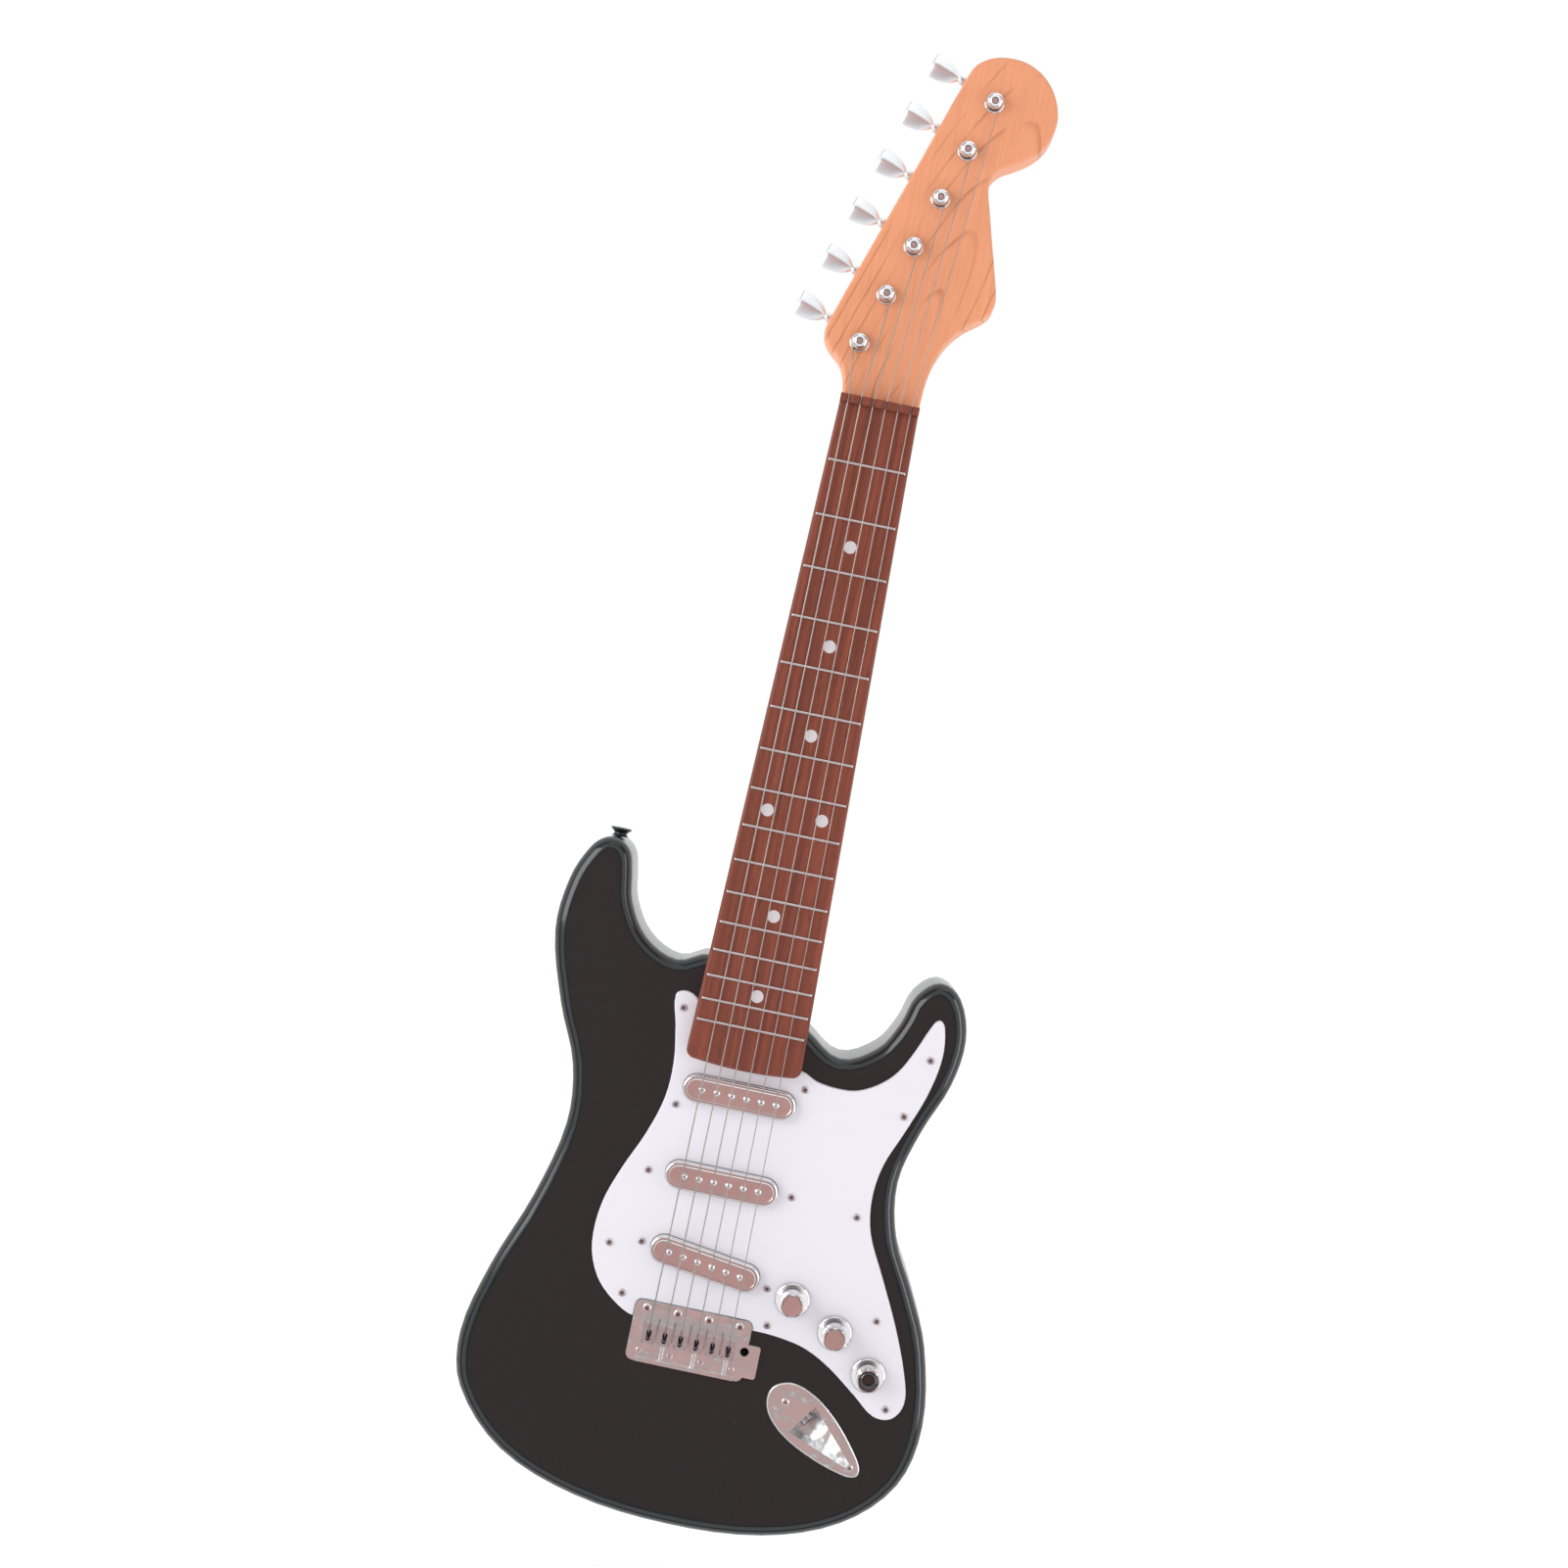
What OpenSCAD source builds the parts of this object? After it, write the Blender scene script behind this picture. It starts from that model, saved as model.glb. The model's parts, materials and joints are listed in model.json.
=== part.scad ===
// Toy electric guitar: two black body shells, a wood-tone neck, steel strings, chrome trim and a sound unit.
// X runs to the right seen from the front, Y towards the back, Z along the neck towards the headstock.
// The origin is on the neck's centre line, level with the nut, in the plane where the fretboard meets the neck.

/* [Neck] */
// Number of frets
fret_count = 16; // [15:1:17]
// Distance from the nut to the first fret
first_gap = 25.35; // [20:0.05:31]
// Distance between the last two frets
last_gap = 9.3; // [7:0.1:11.5]
// How much the gaps shrink faster near the nut
gap_ease = 0.006; // [0:0.001:0.01]
// Fretboard beyond the last fret
fretboard_tail = 18.7; // [15:0.1:24]
// Fretboard width at the nut
nut_w = 34.6; // [32:0.1:40]
// Fretboard width at its body end
fretboard_w = 50.8; // [46:0.1:58]
// Fretboard thickness
fretboard_t = 6; // [5:0.1:8]
// Fret height above the fretboard
fret_h = 0.9; // [0.6:0.1:1.4]
// Fret width
fret_w = 1.3; // [1:0.1:2]
// Diameter of the fret markers
marker_d = 5.5; // [4:0.1:7]
// Neck depth behind the fretboard at the nut
neck_t = 13; // [12:0.1:16]
// Neck depth behind the fretboard where the heel starts
neck_heel_t = 16; // [14:0.1:20]
// Width of the heel that sits in the body
heel_w = 45; // [42:0.1:46]
// Heel length past the end of the fretboard
heel_past = 5; // [2:0.1:5.5]
// Nut length along the neck
nut_len = 3.6; // [3:0.1:5]

/* [Headstock] */
// Step from the fretboard's glue plane back to the headstock's face
head_drop = 2; // [1:0.1:3]
// Headstock thickness
head_t = 12; // [11:0.1:15]
// Headstock wall thickness
head_wall = 2.2; // [1.6:0.1:3]
// Distance between string posts
post_pitch = 23.9; // [20:0.1:24]
// Lean of the post row from the neck's centre line
post_lean = 17.8; // [17:0.1:18.5]
// String post diameter at the bushing
post_d = 5.4; // [4:0.1:6]
// Tip diameter of the worm wheel on each post
wheel_d = 5.4; // [5:0.1:6.5]
// Teeth on each worm wheel
wheel_teeth = 14; // [12:1:18]
// Diameter of each tuner's worm shaft
worm_d = 2.4; // [2:0.1:3]
// Length of a tuner button
button_len = 14; // [12:0.1:18]
// Width of a tuner button
button_w = 11.4; // [9:0.1:14]

/* [Body] */
// Body width
body_w = 209; // [170:1:255]
// Body length from the horn to the tail
body_len = 292; // [245:1:350]
// Body thickness
body_t = 40; // [34:0.5:48]
// Wall thickness of the body shells
body_wall = 3; // [2.6:0.1:4]
// Radius of the rounded front and rear edges
edge_r = 6.5; // [4:0.1:7]
// Step from the fretboard's glue plane back to the body's face
face_drop = 3; // [2.5:0.1:4]
// Thickness of the scratch plate
guard_t = 1.6; // [1.2:0.1:2]
// Outer diameter of a strap button
strap_d = 9.6; // [8:0.1:12]

/* [Pickups and bridge] */
// Pickup cover length
pickup_len = 50.3; // [48:0.1:56]
// Pickup cover width
pickup_w = 12.6; // [11:0.1:16]
// Pickup height above the scratch plate
pickup_h = 3.8; // [2:0.1:4]
// Slant of the pickup nearest the bridge
pickup_slant = 7.8; // [0:0.1:10]
// Distance between pole screws
pole_pitch = 6.54; // [6:0.01:7.2]
// Bridge plate width
bridge_w = 52; // [50:0.1:58]
// Bridge plate length along the strings
bridge_len = 26.6; // [25:0.1:32]
// Bridge plate thickness
bridge_t = 2.4; // [2:0.1:3.2]
// Distance between strings at the saddles
saddle_pitch = 7.05; // [6.6:0.01:7.4]
// Distance between strings at the nut
nut_pitch = 5.5; // [5:0.1:5.8]
// String diameter
string_d = 0.6; // [0.5:0.05:0.9]
// Diameter of the hole for a tremolo arm
arm_hole_d = 3.9; // [3:0.1:4.2]
// Depth of the hole for a tremolo arm
arm_hole_depth = 10; // [8:0.5:12]

/* [Controls] */
// Knob skirt diameter
skirt_d = 15; // [13:0.1:17]
// Knob body diameter
knob_d = 10.4; // [9:0.1:12]
// Knob height above the scratch plate
knob_h = 10; // [8.5:0.1:13]
// Potentiometer shaft diameter
shaft_d = 6; // [5:0.1:6.2]
// Diameter of the domed push button
dome_d = 8.2; // [7:0.1:8.6]
// Travel of the domed push button
dome_travel = 1; // [0.5:0.1:1.2]
// Jack bore diameter
jack_bore_d = 3.6; // [3:0.1:4]
// Angle between the jack's axis and the body's face
jack_tilt = 25; // [20:1:30]

/* [Sound unit] */
// Battery cell diameter
cell_d = 14.5; // [13:0.1:15]
// Battery cell length
cell_len = 50.5; // [44:0.1:52]
// Loudspeaker diameter
speaker_d = 50; // [40:1:56]
// Loudspeaker depth
speaker_t = 14; // [10:0.5:15]
// Circuit board width
board_w = 66; // [50:1:76]
// Circuit board length
board_len = 38; // [30:1:46]
// Travel of the power switch
switch_travel = 3; // [2:0.5:4]

/* [Fits] */
// Gap between pieces that are assembled
fit_gap = 0.15; // [0.05:0.05:0.25]
// Radial running clearance of a turning shaft
run_gap = 0.05; // [0.03:0.01:0.08]
// Gap between pieces that move past each other
move_gap = 0.3; // [0.2:0.05:0.5]

/* [Hidden] */

// Colours
black_gloss = [0.12, 0.11, 0.12];
white_gloss = [0.90, 0.89, 0.93];
wood_tone = [0.90, 0.62, 0.45];
rosewood_tone = [0.52, 0.23, 0.17];
chrome = [0.80, 0.80, 0.82];
steel = [0.66, 0.66, 0.68];
pearl = [0.78, 0.77, 0.78];

// Fret places
gap_step = (first_gap - last_gap + gap_ease * pow(fret_count - 1, 2)) / (fret_count - 1);
function fret_z(n) = -(n * first_gap - gap_step * n * (n - 1) / 2 + gap_ease * (n - 1) * n * (2 * n - 1) / 6);
fretboard_len = fretboard_tail - fret_z(fret_count);
function board_half(z) = nut_w / 2 - z / fretboard_len * (fretboard_w - nut_w) / 2;
heel_start = 47;
single_markers = [3, 5, 7, 12, 15];
double_marker = 9;
double_marker_x = 12;
marker_t = 0.8;

// Depths
face_y = face_drop;
seam_y = face_drop + body_t / 2;
back_y = face_drop + body_t;
guard_y = face_y - guard_t;
bridge_y = face_y - bridge_t;
head_y = head_drop;
head_seam_y = head_drop + head_t / 2;
head_back_y = head_drop + head_t;

// Places on the body, from the end of the fretboard, for a body of the width and length below
plan_w = 209;
plan_len = 292;
bridge_x = 1.2;
body_points = [
    [-79.4, 86.9], [-72.8, 87], [-67.6, 82.6], [-65.3, 75], [-62.3, 61], [-53, 47], [-38, 40.3],
    [-24, 45.5], [0, 35], [25, 21.5], [41, 12.2], [56.5, 20], [64, 32.5], [68.5, 46], [78, 53.7],
    [88, 48.5], [94, 31], [91.5, 10], [83, -12],
    [77.3, -36], [81.5, -60], [93, -82], [103.5, -105], [109.7, -139], [104, -166.5], [83, -188], [50, -200.7],
    [8, -204.3], [-35, -200.2], [-71, -187], [-94, -163.5], [-98.8, -140], [-91.5, -108], [-79, -74],
    [-71.3, -40], [-74, -14], [-84.5, 11], [-93.5, 42], [-91.8, 66], [-85.4, 81.5]
];
guard_points = [
    [-35, 26], [-30.5, 28.4], [-25, 26], [-14, 12], [14, 4], [26, 4.2], [33, 1.2], [42, 0], [51, 0.8], [60, 5.5],
    [67, 12.5], [72.5, 23], [76.6, 33], [80, 38.2], [83, 35.5], [84.6, 22], [81.5, 5], [75, -13], [68.8, -29],
    [67, -44], [69.5, -59], [78, -76], [88.5, -97], [96.5, -117], [98.8, -129], [94.5, -136.5], [86.5, -137],
    [77, -130], [64, -120.5], [52, -114.3], [40, -111.8], [27, -111.2], [0, -113], [-24, -115.6], [-35, -110.5],
    [-44, -101.5], [-49, -88], [-48.3, -70], [-43, -53.5], [-35.5, -36], [-30.6, -19], [-30, -3], [-32.5, 13]
];
edge_screw_points = [
    [-30.5, 21], [-41.5, -86], [-31.6, -106.5], [79.7, 20.3], [73.3, -6], [62.1, -53.2], [79.7, -95.8],
    [91.3, -132.7]
];
pickup_screw_offsets = [
    [0, [-26.5, -8.9]], [0, [27.5, 8.7]], [1, [-32.4, -1]], [1, [31.2, 0]], [2, [-29, 3.6]], [2, [28.8, -5.4]]
];
bridge_screw_offset = [32.1, 13.2];
shell_screw_points = [
    [-78, 68], [79, 36], [-62, -30], [68, -33], [-86, -140], [97, -128], [-40, -188], [58, -187]
];
knob_points = [[41.8, -94.2], [62.7, -104.6], [80.7, -119.6]];
pickup_points = [[bridge_x, -12.1], [bridge_x, -50.5], [bridge_x, -86.3]];
bridge_point = [bridge_x, -120.7];
jack_point = [64.5, -149.9];
jack_turn = -34.2;
battery_point = [-45, -132];
speaker_point = [31, -150];
board_point = [0, -52];
switch_point = [46, -72];

// Places on the headstock, from the nut
head_start = nut_len + fit_gap;
head_points = [
    [-17, head_start], [-17.3, 7], [-18.4, 13], [-21.5, 19.3], [-27, 24], [-30, 29], [-29.3, 35], [-16.5, 74.5],
    [-3.4, 114.5], [9.4, 154], [13, 159], [19, 162.2], [26, 163.3], [33.5, 162.4], [41, 158.6], [47, 152],
    [50.5, 143.5], [50.8, 136.5], [48.5, 129], [43.5, 122.8], [37, 118.3], [31.5, 115], [28, 110.5],
    [27.4, 105.5], [29.2, 98.5], [33.8, 82.5], [38.5, 66.5], [40.4, 58], [39.3, 52.5], [35.5, 48.5],
    [29.5, 43.8], [23.8, 36.8], [19.6, 27.5], [17.7, 17], [17.2, 7], [17.2, head_start]
];
head_cavity_start = 12;
first_post = [-14.2, 28.4];
edge_gap = 16.8;

// Smooth closed outline through points
function unit(v) = v / norm(v);
function bend(a, b, c, d, t) = let (span = norm(c - b), m = span * unit(c - a), k = span * unit(d - b))
    b + t * m + t * t * (3 * (c - b) - 2 * m - k) + t * t * t * (2 * (b - c) + m + k);
function smooth(p, n) = let (k = len(p)) [for (i = [0 : k - 1], j = [0 : n - 1])
    bend(p[(i + k - 1) % k], p[i], p[(i + 1) % k], p[(i + 2) % k], j / n)];
function smooth_open(p, n) = let (k = len(p)) concat([for (i = [0 : k - 2], j = [0 : n - 1])
    bend(p[max(i - 1, 0)], p[i], p[i + 1], p[min(i + 2, k - 1)], j / n)], [p[k - 1]]);
function outward(p, i) = let (k = len(p), next = unit(p[(i + 1) % k] - p[i]), last = unit(p[i] - p[(i + k - 1) % k]),
    t = unit(next + last)) [-t[1], t[0]];
function inset(p, d) = [for (i = [0 : len(p) - 1]) p[i] - d * outward(p, i)];

// A place on the body in the part's own frame, moved with the body's width and length
function at_board_end(p) = [p[0], p[1] - fretboard_len];
function on_body(p) = [p[0] * body_w / plan_w, p[1] * body_len / plan_len - fretboard_len];
bridge_place = on_body(bridge_point);

// Scratch plate screws: some follow its edge, the others stand beside a pickup or the bridge
guard_screw_places = concat([for (p = edge_screw_points) on_body(p)],
    [for (s = pickup_screw_offsets) on_body(pickup_points[s[0]]) + s[1]], [bridge_place + bridge_screw_offset]);
function at_bridge(p) = bridge_place + p;

body_outline = smooth([for (p = body_points) on_body(p)], 4);
guard_outline = smooth([for (p = guard_points) on_body(p)], 4);
head_outline = smooth_open(head_points, 3);
row = [sin(post_lean), cos(post_lean)];
head_cavity = [for (q = inset(head_outline, head_wall)) if (q[1] > head_cavity_start) q];
worm_offset = (wheel_d + worm_d) / 2 + 0.1;
function post_at(i) = first_post + i * post_pitch * row;
function worm_at(i) = post_at(i) + worm_offset * row;

// A flat outline in X and Z made solid from depth y0 to depth y1
module slab(y0, y1) {
    translate([0, y1, 0]) rotate([90, 0, 0]) linear_extrude(y1 - y0) children();
}

// A round rod along Y, with radius r at its back end and r2 at its front end
module rod(p, y0, y1, r, r2 = -1) {
    translate([p[0], y1, p[1]]) rotate([90, 0, 0])
        cylinder(h = y1 - y0, r1 = r, r2 = r2 < 0 ? r : r2, $fn = 48);
}

// The rim of a shell as one closed ring: side wall, rounded edge and the outer strip of the face at Y = 0
module shell_rim(outline, depth, r, wall, strip, steps) {
    n = len(outline);
    arc = [for (k = [0 : steps]) [r * (1 - cos(90 * k / steps)), r * (1 - sin(90 * k / steps))]];
    section = concat([[0, depth]], arc, [[r + strip, 0], [r + strip, wall], [wall, wall], [wall, depth]]);
    m = len(section);
    ring_points = [for (c = section) let (p = inset(outline, c[0])) for (q = p) [q[0], c[1], q[1]]];
    polyhedron(ring_points, [for (j = [0 : m - 1], i = [0 : n - 1]) let (i2 = (i + 1) % n, j2 = (j + 1) % m)
        each [[j * n + i, j * n + i2, j2 * n + i2], [j * n + i, j2 * n + i2, j2 * n + i]]]);
}

// A half shell with its flat face at Y = 0
module half_shell(outline, depth) {
    shell_rim(outline, depth, rim_r, body_wall, rim_strip, 5);
    slab(0, body_wall) polygon(inset(outline, rim_r + rim_strip));
}

// A narrower or shorter outline has tighter bends, by the square of the change, and the rim's rounding follows them
bend_scale = pow(min(1, body_w / plan_w, body_len / plan_len), 2);
rim_r = edge_r * bend_scale;
rim_strip = bend_scale;

// A round tube through a list of points
module tube(path, r, ref = [1, 0, 0], sides = 8) {
    k = len(path);
    ring_points = [for (i = [0 : k - 1])
        let (t = unit(path[min(i + 1, k - 1)] - path[max(i - 1, 0)]), u = unit(cross(t, ref)), v = cross(t, u))
        for (j = [0 : sides - 1]) path[i] + r * (cos(360 * j / sides) * u + sin(360 * j / sides) * v)];
    skin = [for (i = [0 : k - 2], j = [0 : sides - 1]) let (j2 = (j + 1) % sides)
        let (a = i * sides + j, b = i * sides + j2) each [[a, b, b + sides], [a, b + sides, a + sides]]];
    first_cap = [for (j = [sides - 1 : -1 : 0]) j];
    last_cap = [for (j = [0 : sides - 1]) (k - 1) * sides + j];
    polyhedron(ring_points, concat(skin, [first_cap], [last_cap]));
}

// A flat oblong with round ends, centred
module oblong(length, width) {
    square([length - width, width], center = true);
    for (s = [-1, 1]) translate([s * (length - width) / 2, 0]) circle(d = width, $fn = 48);
}

// A flat rectangle with round corners, centred
module round_rect(w, l, r) {
    square([w - 2 * r, l], center = true);
    square([w, l - 2 * r], center = true);
    for (sx = [-1, 1], sy = [-1, 1]) translate([sx * (w / 2 - r), sy * (l / 2 - r)]) circle(r = r, $fn = 32);
}

// A cross-head screw along Y, its head towards the front
module screw(p, y_head, head_r, head_h, shank_r, shank_len) {
    difference() {
        union() {
            rod(p, y_head - head_h, y_head, head_r, head_r * 0.72);
            rod(p, y_head, y_head + shank_len, shank_r);
        }
        for (a = [0, 90]) translate([p[0], y_head - head_h, p[1]]) rotate([0, a + 45, 0])
            cube([head_r * 1.1, head_h * 1.1, head_r * 0.26], center = true);
    }
}

// The same screw with its head towards the back
module rear_screw(p, y_head, head_r, head_h, shank_r, shank_len) {
    translate([0, 2 * y_head, 0]) mirror([0, 1, 0]) screw(p, y_head, head_r, head_h, shank_r, shank_len);
}

// Screws
guard_screw_r = 1.8;
guard_shank_r = 0.9;
guard_shank_len = 4;
shell_screw_r = 2.6;
shell_shank_r = 1.4;
shell_shank_len = 20;
boss_r = 3.8;
shell_head_y = back_y - 6;

// Body shells
pocket_gap = fit_gap;
heel_end = -fretboard_len - heel_past;
heel_foot = 8;
module heel_plan(gap, foot = 0) {
    polygon([[-heel_w / 2 - gap, heel_end + foot - gap], [heel_w / 2 + gap, heel_end + foot - gap],
        [heel_w / 2 + gap, -fretboard_len + heel_start], [-heel_w / 2 - gap, -fretboard_len + heel_start]]);
}

module front_shell() color(black_gloss) {
    difference() {
        union() {
            translate([0, face_y, 0]) half_shell(body_outline, body_t / 2);
            for (p = shell_screw_points) rod(on_body(p), face_y + body_wall - 0.5, seam_y, boss_r);
        }
        slab(face_y - 1, seam_y + 1) heel_plan(pocket_gap);
        for (p = shell_screw_points) rod(on_body(p), seam_y - 9, seam_y + 1, shell_shank_r + 0.02);
        for (p = guard_screw_places) rod(p, face_y - 1, face_y + body_wall + 1, guard_shank_r + 0.02);
        for (p = knob_points) rod(on_body(p), face_y - 1, face_y + body_wall + 1, bushing_r + fit_gap);
        bridge_screw_holes(face_y - 1, face_y + body_wall + 1, bridge_shank_r + 0.02);
        rod(at_bridge(arm_place), face_y - 1, face_y + body_wall + 1, arm_boss_r + fit_gap);
        jack_frame() jack_wedge(jack_wall + fit_gap, 1);
        jack_screw_holes(face_y - 1, face_y + body_wall + 1, jack_shank_r + 0.02);
        strap_holes(strap_shank_r + 0.02);
    }
}

module rear_shell() color(black_gloss) {
    bay = on_body(battery_point);
    difference() {
        union() {
            translate([0, back_y, 0]) mirror([0, 1, 0]) half_shell(body_outline, body_t / 2);
            for (p = shell_screw_points) rod(on_body(p), seam_y, back_y - body_wall + 0.5, boss_r);
            slab(seam_y, back_y - body_wall + 0.5)
                polygon([for (p = platform_points) at_board_end(p)]);
            slab(bay_floor_y - bay_wall, back_y - body_wall + 0.5)
                translate(bay) square([bay_w + 2 * bay_wall, bay_len + 2 * bay_wall], center = true);
            rod(bay + [0, -bay_len / 2 - door_screw_in], back_y - 10.5, back_y - body_wall + 0.5, 3);
            for (p = board_post_points)
                rod(on_body(board_point) + p, board_y + board_t, back_y - body_wall + 0.5, 2.4);
            difference() {
                rod(on_body(speaker_point), back_y - body_wall - 2.5, back_y - body_wall + 0.5, speaker_d / 2 + 2);
                rod(on_body(speaker_point), back_y - body_wall - 3, back_y - body_wall, speaker_d / 2 + fit_gap);
            }
        }
        slab(bay_floor_y, back_y + 1) translate(bay) square([bay_w, bay_len], center = true);
        slab(back_y - door_t - fit_gap, back_y + 1) translate(bay)
            round_rect(door_w + 2 * fit_gap, door_len + 2 * fit_gap, 3);
        rod(bay + [0, -bay_len / 2 - door_screw_in], back_y - 9, back_y, 1.22);
        for (p = neck_screw_points) rod(at_board_end(p), seam_y - 1, back_y + 1, neck_shank_r + fit_gap);
        slab(plate_y, back_y + 1) translate(at_board_end([0, plate_z]))
            round_rect(plate_w + 2 * fit_gap, plate_len + 2 * fit_gap, 4 + fit_gap);
        for (p = shell_screw_points) {
            rod(on_body(p), seam_y - 1, back_y + 1, shell_shank_r + fit_gap);
            rod(on_body(p), shell_head_y, back_y + 1, shell_screw_r + fit_gap);
        }
        for (p = board_post_points) rod(on_body(board_point) + p, board_y - 1, back_y - body_wall, 0.92);
        for (p = grille_points) rod(on_body(speaker_point) + p, back_y - body_wall - 1, back_y + 1, 1.1);
        slab(back_y - body_wall - 1, back_y + 1) translate(on_body(switch_point))
            square([switch_slot_w, switch_slot_len + switch_travel], center = true);
        strap_holes(strap_shank_r + 0.02);
    }
}

module shell_screws() color(steel)
    for (p = shell_screw_points)
        rear_screw(on_body(p), shell_head_y, shell_screw_r, 1.8, shell_shank_r, shell_shank_len);

// Scratch plate
module pickguard() color(white_gloss) {
    difference() {
        slab(guard_y, face_y) polygon(guard_outline);
        slab(guard_y - 1, face_y + 1) heel_plan(pocket_gap, heel_foot);
        for (i = [0 : 2]) slab(guard_y - 1, face_y + 1)
            translate(on_body(pickup_points[i])) rotate(i == 2 ? -pickup_slant : 0)
                oblong(pickup_len + 2 * fit_gap, pickup_w + 2 * fit_gap);
        slab(guard_y - 1, face_y + 1) translate(at_bridge([0, 0]))
            round_rect(bridge_w + 2 * fit_gap, bridge_len + 2 * fit_gap, bridge_corner + fit_gap);
        for (p = guard_screw_places) rod(p, guard_y - 1, face_y + 1, guard_shank_r + fit_gap);
        for (p = knob_points) rod(on_body(p), guard_y - 1, face_y + 1, bushing_r + fit_gap);
    }
}

module pickguard_screws() color(chrome)
    for (p = guard_screw_places) screw(p, guard_y, guard_screw_r, 0.7, guard_shank_r, guard_shank_len);

// Pickups
cover_wall = 1.2;
cover_bevel = 1.2;
pole_r = 1.5;
function pole_at(i, k) = let (a = i == 2 ? -pickup_slant : 0, d = (k - 2.5) * pole_pitch)
    on_body(pickup_points[i]) + [d * cos(a), d * sin(a)];
module pickup(i) color(chrome) {
    top_y = guard_y - pickup_h;
    difference() {
        translate([on_body(pickup_points[i])[0], 0, on_body(pickup_points[i])[1]])
            rotate([0, i == 2 ? pickup_slant : 0, 0]) difference() {
                union() {
                    slab(top_y + cover_bevel, face_y) oblong(pickup_len, pickup_w);
                    slab(top_y, face_y) square([pickup_len - pickup_w, pickup_w - 2 * cover_bevel], center = true);
                    for (s = [-1, 1]) rod([s * (pickup_len - pickup_w) / 2, 0], top_y, top_y + cover_bevel,
                        pickup_w / 2, pickup_w / 2 - cover_bevel);
                    for (s = [-1, 1]) bevel_wedge(s, top_y);
                }
                slab(top_y + 2 * cover_wall, face_y + 1)
                    oblong(pickup_len - 2 * cover_wall, pickup_w - 2 * cover_wall);
            }
        for (k = [0 : 5]) rod(pole_at(i, k), top_y - 1, top_y + 3 * cover_wall, pole_r * 0.6 + 0.02);
    }
}
module bevel_wedge(s, top_y) {
    half = pickup_w / 2;
    translate([-(pickup_len - pickup_w) / 2, 0, 0]) rotate([90, 0, 90]) linear_extrude(pickup_len - pickup_w)
        polygon([[top_y, s * (half - cover_bevel)], [top_y + cover_bevel, s * half],
            [top_y + cover_bevel, s * (half - cover_bevel)]]);
}
module neck_pickup() pickup(0);
module middle_pickup() pickup(1);
module bridge_pickup() pickup(2);

module pole_screws() color(chrome) {
    top_y = guard_y - pickup_h;
    for (i = [0 : 2], k = [0 : 5]) {
        rod(pole_at(i, k), top_y, top_y + 4, pole_r * 0.6);
        translate([pole_at(i, k)[0], top_y, pole_at(i, k)[1]]) rotate([90, 0, 0]) rotate_extrude($fn = 32)
            polygon([[0, 0], [pole_r, 0], for (a = [0 : 15 : 75]) [pole_r * cos(a), 0.9 * sin(a) + 0.1], [0, 1]]);
    }
}

// Bridge
bridge_corner = 3;
bridge_shank_r = 0.9;
arm_place = [24.8, 0];
arm_boss_r = arm_hole_d / 2 + 1.6;
tab_w = 11;
tab_len = 14.5;
saddle_w = 6.2;
saddle_len = 10;
saddle_z = 1.2;
string_y_lift = 0.75;
saddle_top_y = -string_y_lift - fretboard_t - fret_h;
bridge_screw_x = [-20.7, -6.9, 6.9, 20.7];
bridge_screw_z = 10.3;
bridge_small_z = -8.6;
module bridge_screw_holes(y0, y1, r) {
    for (x = bridge_screw_x, z = [bridge_screw_z, bridge_small_z]) rod(at_bridge([x, z]), y0, y1, r);
}
module bridge_plan() {
    round_rect(bridge_w, bridge_len, bridge_corner);
    translate([bridge_w / 2, -tab_len / 2 + 3.4]) round_rect(tab_w, tab_len, 1.2);
}
module bridge_plate() color(chrome) {
    difference() {
        union() {
            slab(bridge_y, face_y) translate(at_bridge([0, 0])) bridge_plan();
            rod(at_bridge(arm_place), bridge_y, bridge_y + arm_hole_depth, arm_boss_r);
            slab(bridge_y - 1.4, bridge_y + 0.1) translate(at_bridge([0, -bridge_len / 2 + 1]))
                square([bridge_w - 8, 1.6], center = true);
        }
        rod(at_bridge(arm_place), bridge_y - 3, bridge_y + arm_hole_depth + 1, arm_hole_d / 2);
        bridge_screw_holes(bridge_y - 1, face_y + 1, bridge_shank_r + 0.02);
    }
}
module saddles() color(chrome)
    for (k = [0 : 5]) {
        c = at_bridge([(k - 2.5) * saddle_pitch, saddle_z]);
        difference() {
            union() {
                slab(bridge_y - 4.2, bridge_y) translate(c) square([saddle_w, saddle_len], center = true);
                slab(saddle_top_y, bridge_y) translate(c + [0, saddle_len / 2 - 1.4])
                    square([saddle_w, 2.8], center = true);
            }
            slab(saddle_top_y - 1, bridge_y - 0.8) translate(c + [0, -1]) oblong_up(5.6, 2.2);
            slab(saddle_top_y - 1, saddle_top_y + 0.75) translate(c + [0, saddle_len / 2 - 1.4])
                square([1.2, 4], center = true);
        }
    }
module oblong_up(length, width) rotate(90) oblong(length, width);
module bridge_screws() color(chrome) {
    for (x = bridge_screw_x) {
        screw(at_bridge([x, bridge_screw_z]), bridge_y, 1.9, 1, bridge_shank_r, 5);
        screw(at_bridge([x, bridge_small_z]), bridge_y, 1.3, 0.7, bridge_shank_r, 5);
    }
    for (x = [-1.5, 0.5, 2.5])
        translate([bridge_place[0] + x * saddle_pitch, bridge_y - 2, bridge_place[1] - 11.2])
            cylinder(r = 0.8, h = 11.2 + saddle_z - saddle_len / 2, $fn = 24);
}

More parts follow.
